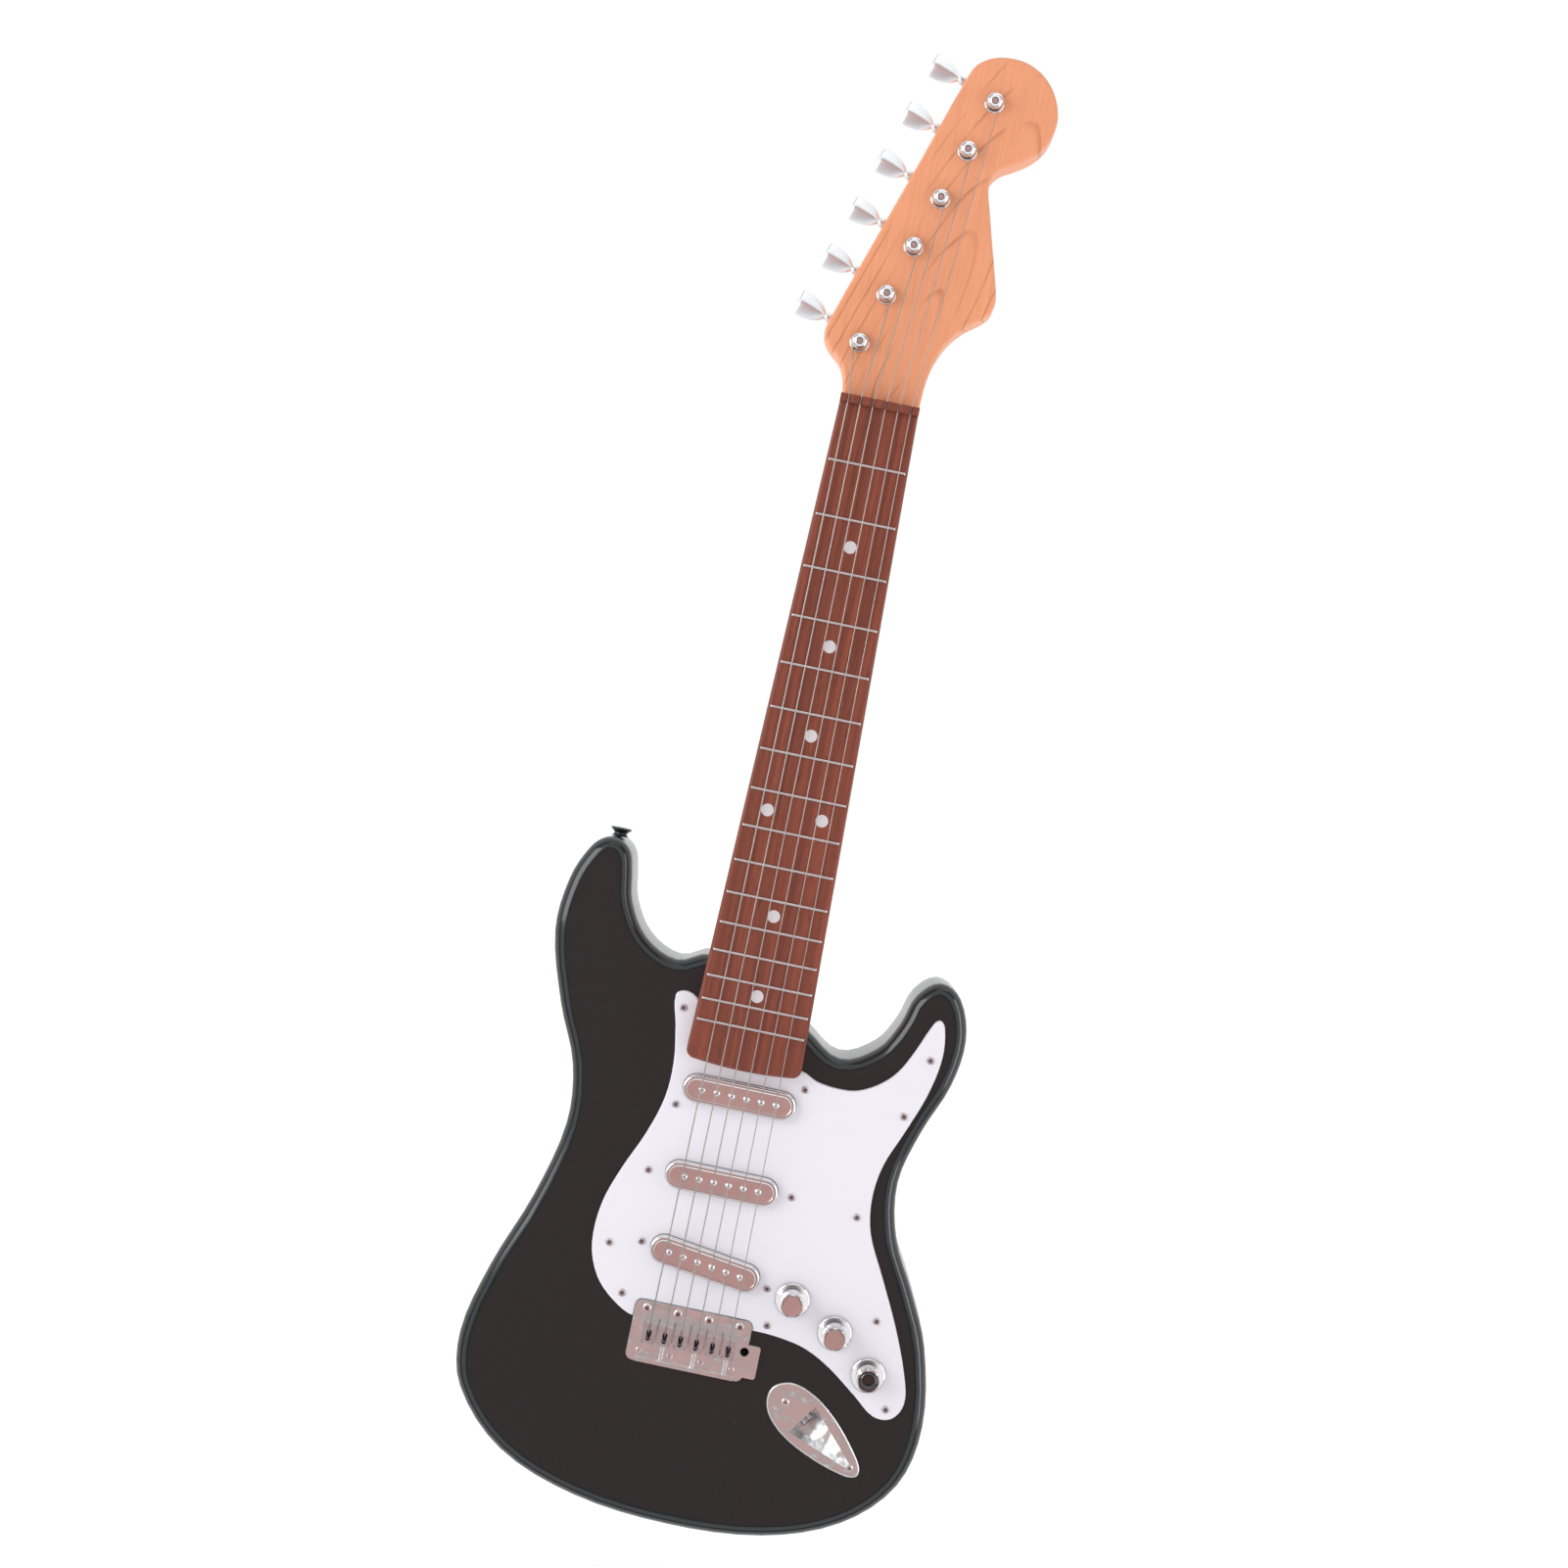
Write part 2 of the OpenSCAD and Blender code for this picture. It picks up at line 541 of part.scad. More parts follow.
// Jack plate, in a frame with X along the plate and the origin between its screws
jack_shank_r = 0.9;
jack_screw_x = 20;
jack_plate_t = 1.4;
jack_wall = 1.2;
recess_start = -9.5;
recess_end = 19.5;
recess_half = 8;
recess_depth = 12;
jack_points = [
    [-28.5, 0], [-26.6, 5.2], [-21.5, 9.2], [-13, 11.2], [-3, 10.9], [8, 8.8], [17, 6], [23, 3.2], [25.2, 0],
    [23, -3.2], [17, -6], [8, -8.8], [-3, -10.9], [-13, -11.2], [-21.5, -9.2], [-26.6, -5.2]
];
module jack_frame() {
    p = on_body(jack_point);
    translate([p[0], face_y, p[1]]) rotate([0, -jack_turn, 0]) children();
}
// The wedge-shaped recess, grown by a wall: its floor runs up to the plate along the jack's axis
module jack_wedge(grow, top) {
    foot = [recess_start + recess_depth * sin(jack_tilt), recess_depth * cos(jack_tilt)];
    intersection() {
        slab(-top, recess_depth + 5) polygon([
            [recess_start - 3 * grow, recess_half + grow], [recess_end + 2 * grow, 1 + grow],
            [recess_end + 2 * grow, -1 - grow], [recess_start - 3 * grow, -recess_half - grow]]);
        translate([0, 0, -15]) linear_extrude(30) polygon([
            [recess_start - grow, -top], [recess_start - grow, 0], foot + [-grow, grow * 0.6], foot + [0, grow],
            [recess_end + 2 * grow, 0], [recess_end + 2 * grow, -top]]);
    }
}
module jack_plate() color(chrome)
    jack_frame() difference() {
        union() {
            slab(-jack_plate_t, 0) polygon(smooth(jack_points, 4));
            jack_wedge(jack_wall, 0);
        }
        jack_wedge(0, jack_plate_t + 1);
        for (s = [-1, 1]) rod([s * jack_screw_x, 0], -5, 5, jack_shank_r + fit_gap);
        jack_axis() rotate([0, 90, 0]) translate([0, 0, -10])
            cylinder(r = jack_sleeve_r + fit_gap, h = 12, $fn = 48);
    }
jack_sleeve_r = jack_bore_d / 2 + 1.4;
jack_sleeve_out = 1.6;
jack_sleeve_in = 9;
module jack_axis() {
    half = recess_depth * 0.56;
    translate([recess_start + half * sin(jack_tilt), half * cos(jack_tilt), 0])
        rotate([0, 0, -jack_tilt]) children();
}
module jack_socket() color(steel)
    jack_frame() jack_axis() rotate([0, 90, 0]) difference() {
        union() {
            translate([0, 0, -jack_sleeve_in])
                cylinder(r = jack_sleeve_r, h = jack_sleeve_in + jack_sleeve_out, $fn = 48);
            translate([0, 0, -jack_sleeve_in]) cylinder(r = jack_sleeve_r + 0.8, h = 6.8, $fn = 48);
        }
        translate([0, 0, -jack_sleeve_in + 1]) cylinder(d = jack_bore_d, h = 30, $fn = 48);
    }
module jack_screw_holes(y0, y1, r) {
    jack_frame() for (s = [-1, 1]) rod([s * jack_screw_x, 0], y0 - face_y, y1 - face_y, r);
}
module jack_screws() color(chrome)
    jack_frame() for (s = [-1, 1]) screw([s * jack_screw_x, 0], -jack_plate_t, 1.7, 0.8, jack_shank_r, 4.2);

// Neck
heel_top = -fretboard_len + heel_start;
neck_inset = 0.7;
function neck_section(z, half, depth) = [for (k = [0 : 24]) let (a = 180 * k / 24)
    [half * cos(a), depth * pow(sin(a), 0.85), z]];
module neck_body() {
    nut_section = neck_section(nut_len, nut_w / 2 - neck_inset, neck_t);
    heel_section = neck_section(heel_top - 6, heel_w / 2 - neck_inset, neck_heel_t);
    n = len(nut_section);
    polyhedron(concat(heel_section, nut_section), concat(
        [for (i = [0 : n - 1]) let (i2 = (i + 1) % n) each [[i, n + i2, i2], [i, n + i, n + i2]]],
        [[for (i = [0 : n - 1]) i]], [[for (i = [n - 1 : -1 : 0]) n + i]]));
    slab(0, seam_y) polygon([
        [-heel_w / 2, heel_end + heel_foot], [heel_w / 2, heel_end + heel_foot], [heel_w / 2, heel_top - 8],
        [heel_w / 2 - 8, heel_top], [-heel_w / 2 + 8, heel_top], [-heel_w / 2, heel_top - 8]]);
    slab(face_y + move_gap, seam_y) translate([0, heel_end + (heel_foot + 1) / 2])
        square([heel_w, heel_foot + 1], center = true);
    slab(head_seam_y, head_back_y) polygon(head_outline);
    slab(head_seam_y, head_back_y) translate([0, head_start]) square([nut_w - 2 * neck_inset, 6], center = true);
}

module neck_back() color(wood_tone) {
    difference() {
        difference() {
            neck_body();
            slab(head_seam_y - 1, head_back_y - head_wall) polygon(head_cavity);
        }
        slab(-1, neck_t - 5) polygon([[-9, heel_end + 24], [9, heel_end + 24], [7, -12], [-7, -12]]);
        slab(-15, head_y) translate([-30, 0]) square([60, 100]);
        for (p = neck_screw_points) rod(at_board_end(p), seam_y - 10, seam_y + 1, neck_shank_r + 0.02);
        for (i = [0 : 5]) {
            rod(post_at(i), head_back_y - head_wall - 1, head_back_y - 0.8, pivot_r + run_gap);
            worm_hole(i);
        }
        for (p = head_screw_points) {
            rod(p, head_seam_y - 1, head_back_y + 1, head_shank_r + fit_gap);
            rod(p, head_back_y - 1.4, head_back_y + 1, head_screw_r + fit_gap);
        }
    }
    for (p = head_screw_points) difference() {
        rod(p, head_seam_y, head_back_y - head_wall + 0.1, 3);
        rod(p, head_seam_y - 1, head_back_y, head_shank_r + fit_gap);
    }
}

module headstock_cover() color(wood_tone) {
    difference() {
        union() {
            difference() {
                slab(head_y, head_seam_y) polygon(head_outline);
                slab(head_y + head_wall, head_seam_y + 1) polygon(head_cavity);
            }
            for (p = head_screw_points) rod(p, head_y + head_wall - 0.5, head_seam_y, 3);
        }
        for (i = [0 : 5]) {
            rod(post_at(i), head_y - 1, head_y + head_wall + 1, bushing_out_r + fit_gap);
            worm_hole(i);
        }
        for (p = head_screw_points) rod(p, head_seam_y - 4, head_seam_y + 1, head_shank_r + 0.02);
    }
}
head_screw_points = [[22, 60], [34.5, 132], [21, 90], [5, 30]];
head_screw_r = 2;
head_shank_r = 1.1;
module headstock_screws() color(steel)
    for (p = head_screw_points) rear_screw(p, head_back_y - 1.4, head_screw_r, 1.2, head_shank_r, 6.5);

module worm_hole(i) {
    translate([worm_at(i)[0], head_seam_y, worm_at(i)[1]]) rotate([0, -90 + post_lean, 0])
        rotate(50) translate([0, 0, -4.5]) cylinder(r = worm_d / 2 + run_gap, h = edge_gap + 14, $fn = 48);
}

// Neck joint
neck_screw_points = [[-13, 12.5], [13, 12.5], [-13, -1.5], [13, -1.5]];
neck_shank_r = 1.6;
platform_points = [[-20, -9], [20, -9], [20, 18], [-20, 37]];
plate_w = 38;
plate_len = 26;
plate_t = 1.2;
plate_z = 5.5;
plate_y = back_y - 2.5;
module neck_plate() color(chrome)
    difference() {
        slab(plate_y, plate_y + plate_t) translate(at_board_end([0, plate_z])) round_rect(plate_w, plate_len, 4);
        for (p = neck_screw_points)
            rod(at_board_end(p), plate_y - 1, plate_y + plate_t + 1, neck_shank_r + fit_gap);
    }
module neck_screws() color(steel)
    for (p = neck_screw_points)
        rear_screw(at_board_end(p), plate_y + plate_t, 3.1, 1.2, neck_shank_r, body_t / 2 + 5);

// Fretboard: flat top, rounded long edges and a gently bowed body end
end_bow = 1.3;
end_corner = 4;
board_edge = 1.1;
function board_plan(d) = let (w = fretboard_w / 2 - d, c = end_corner - d, z = end_bow + d - fretboard_len) concat(
    [[-nut_w / 2 + d, 0], [nut_w / 2 - d, 0]],
    [for (a = [0 : 15 : 90]) [w - c + c * cos(a), z + c - c * sin(a)]],
    [for (k = [1 : 15]) let (x = (w - c) * (1 - k / 8)) [x, z - end_bow * (1 - pow(x / (w - c), 2))]],
    [for (a = [90 : -15 : 0]) [-w + c - c * cos(a), z + c - c * sin(a)]]);
function marker_places() = concat([for (n = single_markers) [0, (fret_z(n) + fret_z(n - 1)) / 2]],
    [for (s = [-1, 1]) [s * double_marker_x, (fret_z(double_marker) + fret_z(double_marker - 1)) / 2]]);
module fretboard() color(rosewood_tone)
    difference() {
        union() {
            slab(-fretboard_t + board_edge, 0) polygon(board_plan(0));
            slab(-fretboard_t + board_edge / 3, 0) polygon(board_plan(board_edge / 3));
            slab(-fretboard_t, 0) polygon(board_plan(board_edge));
        }
        for (p = marker_places()) rod(p, -fretboard_t - 1, -fretboard_t + marker_t, marker_d / 2);
        for (n = [1 : fret_count]) translate([0, -fretboard_t, fret_z(n)])
            cube([fretboard_w * 2, 2, 0.5], center = true);
    }
module fret_markers() color(pearl)
    for (p = marker_places()) rod(p, -fretboard_t, -fretboard_t + marker_t, marker_d / 2);
module frets() color(chrome)
    for (n = [1 : fret_count]) {
        half = board_half(fret_z(n)) - board_edge;
        translate([-half, -fretboard_t, fret_z(n)]) rotate([90, 0, 90]) linear_extrude(2 * half)
            polygon([[1, 0.25], [0, 0.25], [0, fret_w / 2],
                for (a = [15 : 15 : 165]) [-fret_h * sin(a), fret_w / 2 * cos(a)],
                [0, -fret_w / 2], [0, -0.25], [1, -0.25]]);
    }
module nut() color(rosewood_tone)
    difference() {
        slab(-fretboard_t - fret_h - 1.1, head_y) translate([0, nut_len / 2])
            square([nut_w, nut_len], center = true);
        slab(0, head_y + 1) translate([0, -2]) square([nut_w * 2, 4.2], center = true);
        for (k = [0 : 5]) slab(-fretboard_t - 5, nut_string_y + string_d / 2)
            translate([(k - 2.5) * nut_pitch, nut_len / 2]) square([1, nut_len + 1], center = true);
    }

// Strings: over a saddle, straight to the nut, down to the right of the post, except the lowest one
nut_string_y = -fretboard_t - fret_h - 0.55;
spool_y = head_y - 1.1;
spool_len = 1.9;
post_string_y = spool_y - spool_len / 2;
spool_r = 2.1;
function post_side(k) = k == 0 ? -1 : 1;
function string_path(k) = let (s = at_bridge([(k - 2.5) * saddle_pitch, saddle_z]), x = (k - 2.5) * nut_pitch,
    p = post_at(k), touch = spool_r + string_d / 2 + fit_gap)
    [[s[0], bridge_y - 2.2, s[1] - 0.6], [s[0], saddle_top_y - 0.1, s[1] + saddle_len / 2 - 3.2],
     [s[0], saddle_top_y + 0.75 - string_d / 2, s[1] + saddle_len / 2 - 1],
     [x, nut_string_y, 0.5], [x, nut_string_y, nut_len - 0.5], [x, nut_string_y + 0.2, nut_len + 0.8],
     [p[0] + post_side(k) * touch, post_string_y, p[1] - 3], [p[0] + post_side(k) * touch, post_string_y, p[1]]];
module strings() color(steel)
    for (k = [0 : 5]) tube(string_path(k), string_d / 2);

// Tuners
bushing_out_r = post_d / 2 + 0.9;
ring_r = 4.7;
pivot_r = 1.4;
wheel_y = head_seam_y;
wheel_t = 3;
dome_r = 3.75;
dome_rise = 2.6;
module tuner_bushings() color(chrome)
    for (i = [0 : 5]) difference() {
        union() {
            rod(post_at(i), head_y - 0.9, head_y, ring_r, ring_r - 0.6);
            rod(post_at(i), head_y - 0.01, head_y + head_wall, bushing_out_r);
        }
        rod(post_at(i), head_y - 2, head_y + head_wall + 1, post_d / 2 + run_gap);
    }
module tuner_post(i) color(chrome) {
    p = post_at(i);
    rod(p, spool_y, wheel_y - wheel_t / 2 - 0.3, post_d / 2);
    rod(p, spool_y - spool_len, spool_y, spool_r);
    translate([p[0], spool_y - spool_len + 0.1, p[1]]) rotate([90, 0, 0]) rotate_extrude($fn = 48)
        polygon([[0, 0], [dome_r, 0], [dome_r, 0.4],
            for (a = [10 : 10 : 80]) [dome_r * cos(a), 0.4 + dome_rise * sin(a)], [0, 0.4 + dome_rise]]);
    rod(p, wheel_y - wheel_t / 2 - 0.3, head_back_y - 1, pivot_r);
    difference() {
        rod(p, wheel_y - wheel_t / 2, wheel_y + wheel_t / 2, wheel_d / 2);
        for (k = [0 : wheel_teeth - 1])
            translate([p[0], wheel_y, p[1]]) rotate([0, (k + 0.5) * 360 / wheel_teeth, 0])
                translate([wheel_d / 2, 0, 0]) cube([0.9, wheel_t + 1, 0.55], center = true);
    }
}
module tuner_post_1() tuner_post(0);
module tuner_post_2() tuner_post(1);
module tuner_post_3() tuner_post(2);
module tuner_post_4() tuner_post(3);
module tuner_post_5() tuner_post(4);
module tuner_post_6() tuner_post(5);

// One tuner button with its worm shaft, turning about the shaft's axis
button_plan = [[0, 1.3], [1, 2.2], [2.6, 3.4], [5.2, 4.7], [8.5, 5.5], [12, 5.7], [13.7, 5.3], [14, 4.2]];
module tuner_button(i) color(chrome)
    translate([worm_at(i)[0], head_seam_y, worm_at(i)[1]]) rotate([0, -90 + post_lean, 0]) {
        half = [for (p = button_plan) [p[1] * button_w / 11.4, p[0] * button_len / 14]];
        translate([0, 0, -4]) cylinder(d = worm_d, h = edge_gap + 8, $fn = 48);
        translate([0, 0, edge_gap + move_gap]) cylinder(d1 = 4.6, d2 = 3.6, h = 2.4, $fn = 32);
        translate([0, 2.3, edge_gap + move_gap + 2.2]) rotate([90, 0, 0]) linear_extrude(4.6)
            polygon(concat(half, [for (j = [len(half) - 1 : -1 : 0]) [-half[j][0], half[j][1]]]));
    }
module tuner_button_1() tuner_button(0);
module tuner_button_2() tuner_button(1);
module tuner_button_3() tuner_button(2);
module tuner_button_4() tuner_button(3);
module tuner_button_5() tuner_button(4);
module tuner_button_6() tuner_button(5);

// Knobs and their shafts
bushing_r = shaft_d / 2 + 0.9;
bushing_out = 0.6;
knob_base_y = guard_y - bushing_out - 0.3;
knob_top_y = guard_y - knob_h;
shaft_in = 7;
plunger_r = 1.2;
module knob_shape(i, open_top) color(chrome) {
    p = on_body(knob_points[i]);
    difference() {
        union() {
            rod(p, knob_base_y - 0.8, knob_base_y, skirt_d / 2);
            rod(p, knob_base_y - 2.4, knob_base_y - 0.8, skirt_d / 2, knob_d / 2 + 0.4);
            rod(p, knob_top_y + (open_top ? 1.2 : 0), knob_base_y - 2.4, knob_d / 2);
        }
        rod(p, open_top ? knob_top_y - 1 : knob_top_y + 2.4, knob_base_y + 1, shaft_d / 2);
        if (open_top) rod(p, knob_top_y - 1, knob_top_y + 1.2 + 2.4, dome_d / 2 + run_gap);
    }
}
module volume_knob() knob_shape(0, false);
module tone_knob() knob_shape(1, false);
module sound_knob() knob_shape(2, true);
module shaft_shape(i, top_y, hollow) color(steel) {
    p = on_body(knob_points[i]);
    difference() {
        rod(p, top_y, face_y + body_wall + shaft_in, shaft_d / 2);
        if (hollow) rod(p, top_y - 1, face_y + body_wall + shaft_in + 1, plunger_r + run_gap);
    }
}
module volume_shaft() shaft_shape(0, knob_top_y + 2.4, false);
module tone_shaft() shaft_shape(1, knob_top_y + 2.4, false);
dome_seat_y = knob_top_y + 1.2 + 2.4;
module sound_shaft() shaft_shape(2, dome_seat_y, true);
module push_button() color([0.05, 0.05, 0.05]) {
    p = on_body(knob_points[2]);
    rod(p, knob_top_y + 1.6, dome_seat_y - dome_travel - 0.1, dome_d / 2);
    translate([p[0], knob_top_y + 1.6, p[1]]) rotate([90, 0, 0]) rotate_extrude($fn = 48)
        polygon([[0, 0], [dome_d / 2, 0], for (a = [10 : 10 : 80]) [dome_d / 2 * cos(a), 1.6 * sin(a)], [0, 1.6]]);
    rod(p, dome_seat_y - dome_travel - 0.2, push_switch_y - dome_travel - 0.1, plunger_r);
}
push_switch_y = face_y + body_wall + 10.4;
module potentiometers() color(steel)
    for (i = [0 : 2]) {
        p = on_body(knob_points[i]);
        difference() {
            union() {
                rod(p, guard_y - bushing_out, face_y + body_wall, bushing_r);
                rod(p, face_y + body_wall, face_y + body_wall + 8.4, 7.5);
                slab(face_y + body_wall, face_y + body_wall + 1.6) translate(p + [0, -10])
                    square([9, 8], center = true);
            }
            rod(p, guard_y - 3, face_y + body_wall + shaft_in + 0.3, shaft_d / 2 + run_gap);
            if (i == 2) rod(p, guard_y - 3, face_y + body_wall + 9, plunger_r + move_gap);
        }
    }
module push_switch() color([0.1, 0.1, 0.1]) {
    p = on_body(knob_points[2]);
    rod(p, push_switch_y, push_switch_y + 1.2, 1.6);
    slab(push_switch_y + 1.2, push_switch_y + 4.2) translate(p) square([6, 6], center = true);
    for (s = [-1, 1]) slab(face_y + body_wall + 8.4, push_switch_y + 4.2) translate(p + [s * 4, 0])
        square([2, 6], center = true);
    slab(push_switch_y + 3.4, push_switch_y + 4.2) translate(p) square([10, 6], center = true);
}

// Circuit board
board_t = 1.6;
board_y = back_y - body_wall - 9;
board_post_points = [for (sx = [-1, 1], sz = [-1, 1]) [sx * (board_w / 2 - 4), sz * (board_len / 2 - 4)]];
module circuit_board() color([0.10, 0.35, 0.20]) {
    c = on_body(board_point);
    difference() {
        slab(board_y, board_y + board_t) translate(c) square([board_w, board_len], center = true);
        for (p = board_post_points) rod(c + p, board_y - 1, board_y + board_t + 1, 1);
    }
    slab(board_y - 2, board_y) translate(c + [-6, 0]) square([16, 12], center = true);
    for (x = [10, 19]) rod(c + [x, 4], board_y - 9, board_y, 3.2);
    for (k = [0 : 4]) slab(board_y - 1.2, board_y) translate(c + [9 + k * 3.6, -9]) square([2, 3.4], center = true);
}

// Loudspeaker
grille_step = 4.6;
grille_points = [for (i = [-4 : 4], j = [-4 : 4]) if (norm([i, j]) * grille_step < speaker_d / 2 - 5)
    grille_step * [i, j]];
module speaker() color([0.18, 0.18, 0.19]) {
    p = on_body(speaker_point);
    y0 = back_y - body_wall;
    difference() {
        union() {
            rod(p, y0 - 2, y0, speaker_d / 2);
            rod(p, y0 - speaker_t + 5, y0 - 2, speaker_d / 2 - 3, speaker_d / 2 - 10);
            rod(p, y0 - speaker_t, y0 - speaker_t + 5.01, speaker_d / 2 - 10);
        }
        rod(p, y0 - 3, y0 + 1, speaker_d / 2 - 5);
    }
}

// Batteries, in a bay that opens to the back
bay_wall = 1.6;
door_t = 2;
cell_gap = 0.4;
bay_w = 3 * (cell_d + cell_gap) + cell_gap;
bay_len = cell_len + 4.2;
cell_shift = 1.5;
door_w = bay_w + 3;
door_len = bay_len + 12;
door_screw_in = 3;
bay_floor_y = back_y - door_t - cell_d - 3 * fit_gap - 0.5;
cell_y = back_y - door_t - 2 * fit_gap - cell_d / 2;
module battery_cells() color([0.75, 0.55, 0.20])
    for (k = [-1, 0, 1]) {
        c = on_body(battery_point) + [k * (cell_d + cell_gap), 0];
        translate([c[0], cell_y, c[1] + (k == 0 ? -1 : 1) * cell_shift]) rotate([k == 0 ? 180 : 0, 0, 0]) {
            translate([0, 0, -cell_len / 2]) cylinder(d = cell_d, h = cell_len - 1.2, $fn = 64);
            translate([0, 0, cell_len / 2 - 1.3]) cylinder(d = 5.4, h = 1.3, $fn = 32);
        }
    }
module battery_contacts() color(steel)
    for (k = [-1, 0, 1], s = [-1, 1]) {
        c = on_body(battery_point) + [k * (cell_d + cell_gap), 0];
        plus = (k == 0 ? -s : s) > 0;
        z_in = bay_len / 2;
        translate([c[0], cell_y, c[1] + s * (z_in - 0.2)]) cube([9, 9, 0.4], center = true);
        if (!plus) for (turn = [0 : 3]) translate([c[0], cell_y, c[1] + s * (z_in - 0.74 - turn * 0.65)])
            rotate_extrude($fn = 32) translate([4 - turn * 0.6, 0]) square([0.8, 0.7], center = true);
    }
module battery_door() color(black_gloss) {
    c = on_body(battery_point);
    difference() {
        union() {
            slab(back_y - door_t, back_y) translate(c) round_rect(door_w, door_len, 3);
            for (k = [-2 : 2]) slab(back_y - 0.1, back_y + 0.35) translate(c + [0, door_len / 2 - 10 + k * 2])
                square([22, 0.8], center = true);
        }
        rod(c + [0, -bay_len / 2 - door_screw_in], back_y - door_t - 1, back_y + 1, 1.2 + fit_gap);
        rod(c + [0, -bay_len / 2 - door_screw_in], back_y - 1.1, back_y + 1, 2.2);
    }
}
module battery_door_screw() color(steel)
    rear_screw(on_body(battery_point) + [0, -bay_len / 2 - door_screw_in], back_y - 1.1, 2.1, 1, 1.2, 7);

// Power switch
switch_slot_w = 5;
switch_slot_len = 7;
switch_body_t = 6;
module power_switch_body() color([0.30, 0.30, 0.31]) {
    c = on_body(switch_point);
    slab(back_y - body_wall - switch_body_t, back_y - body_wall - 1.2) translate(c) square([9, 18], center = true);
    for (s = [-1, 1]) slab(back_y - body_wall - 1.6, back_y - body_wall) translate(c + [0, s * 8])
        square([9, 2], center = true);
}
module power_switch_cap() color([0.75, 0.10, 0.10]) {
    c = on_body(switch_point) + [0, -switch_travel / 2];
    slab(back_y - body_wall - 1, back_y + 0.2) translate(c)
        square([switch_slot_w - 2 * move_gap, switch_slot_len - 2 * move_gap], center = true);
    for (k = [-1 : 1]) slab(back_y, back_y + 0.5) translate(c + [0, k * 1.8])
        square([switch_slot_w - 2 * move_gap, 0.8], center = true);
}

// Strap buttons, at the tip of the upper horn and at the tail
strap_shank_r = 1.2;
horn_strap = [on_body([-75, 0])[0], on_body([0, 87.6])[1]];
tail_strap = [on_body([8, 0])[0], on_body([0, -204.7])[1]];
module strap_place() {
    translate([horn_strap[0], seam_y, horn_strap[1]]) children();
    translate([tail_strap[0], seam_y, tail_strap[1]]) rotate([0, 180, 0]) children();
}
module strap_holes(r) strap_place() translate([0, 0, -12]) cylinder(r = r, h = 13, $fn = 32);
module strap_buttons() color(black_gloss)
    strap_place() rotate_extrude($fn = 48) polygon([
        [strap_shank_r + fit_gap, 0], [strap_d / 2 - 0.8, 0], [3, 0.9], [2.9, 1.8], [strap_d / 2 - 0.3, 3],
        [strap_d / 2, 3.5], [strap_d / 2 - 0.5, 4], [2.4, 4], [2.4, 3.2], [strap_shank_r + fit_gap, 3.2]]);
module strap_screws() color(steel)
    strap_place() difference() {
        union() {
            translate([0, 0, 3.2]) cylinder(r = 2.2, h = 0.7, $fn = 32);
            translate([0, 0, -8]) cylinder(r = strap_shank_r, h = 11.21, $fn = 32);
        }
        for (a = [0, 90]) translate([0, 0, 3.9]) rotate(a) cube([2.6, 0.5, 0.8], center = true);
    }

// Wiring: battery to board, board to loudspeaker
wire_r = 0.7;
module wiring() color([0.75, 0.10, 0.10]) {
    c = on_body(board_point);
    b = on_body(battery_point);
    s = on_body(speaker_point);
    top = board_y;
    bay_end = b[1] + bay_len / 2;
    magnet_y = back_y - body_wall - speaker_t;
    tube([[c[0] - 28, top, c[1] - 8], [c[0] - 28, top - 4, c[1] - 8], [c[0] - 29, top - 6, c[1] - 11],
        [b[0] - 3, top - 7, c[1] - 22], [b[0], top - 7, bay_end + 8], [b[0], bay_floor_y + 3, bay_end + 5],
        [b[0], bay_floor_y + 3, bay_end + bay_wall]], wire_r);
    tube([[c[0] + 28, top, c[1] - 8], [c[0] + 28, top - 4, c[1] - 8], [c[0] + 27, top - 6, c[1] - 12],
        [s[0] - 5, top - 6, s[1] + 45], [s[0], magnet_y - 3, s[1] + 20],
        [s[0], magnet_y - 4, s[1] + 9], [s[0], magnet_y - 2.5, s[1] + 6], [s[0], magnet_y, s[1] + 6]], wire_r);
}

front_shell();
rear_shell();
shell_screws();
pickguard();
pickguard_screws();
neck_pickup();
middle_pickup();
bridge_pickup();
pole_screws();
bridge_plate();
saddles();
bridge_screws();
jack_plate();
jack_socket();
jack_screws();
neck_back();
headstock_cover();
headstock_screws();
fretboard();
nut();
frets();
fret_markers();
neck_plate();
neck_screws();
strings();
tuner_bushings();
tuner_post_1();
tuner_post_2();
tuner_post_3();
tuner_post_4();
tuner_post_5();
tuner_post_6();
tuner_button_1();
tuner_button_2();
tuner_button_3();
tuner_button_4();
tuner_button_5();
tuner_button_6();
volume_knob();
tone_knob();
sound_knob();
volume_shaft();
tone_shaft();
sound_shaft();
push_button();
potentiometers();
push_switch();
circuit_board();
speaker();
battery_cells();
battery_contacts();
battery_door();
battery_door_screw();
power_switch_cap();
power_switch_body();
strap_buttons();
strap_screws();
wiring();
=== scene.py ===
"""Looks of a toy electric guitar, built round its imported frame.

Lengths are metres, and MM turns millimetres into them.
"""

import json
import math

import bmesh
import bpy
from bpy.props import FloatProperty, FloatVectorProperty, IntProperty, PointerProperty
from mathutils import Matrix, Vector


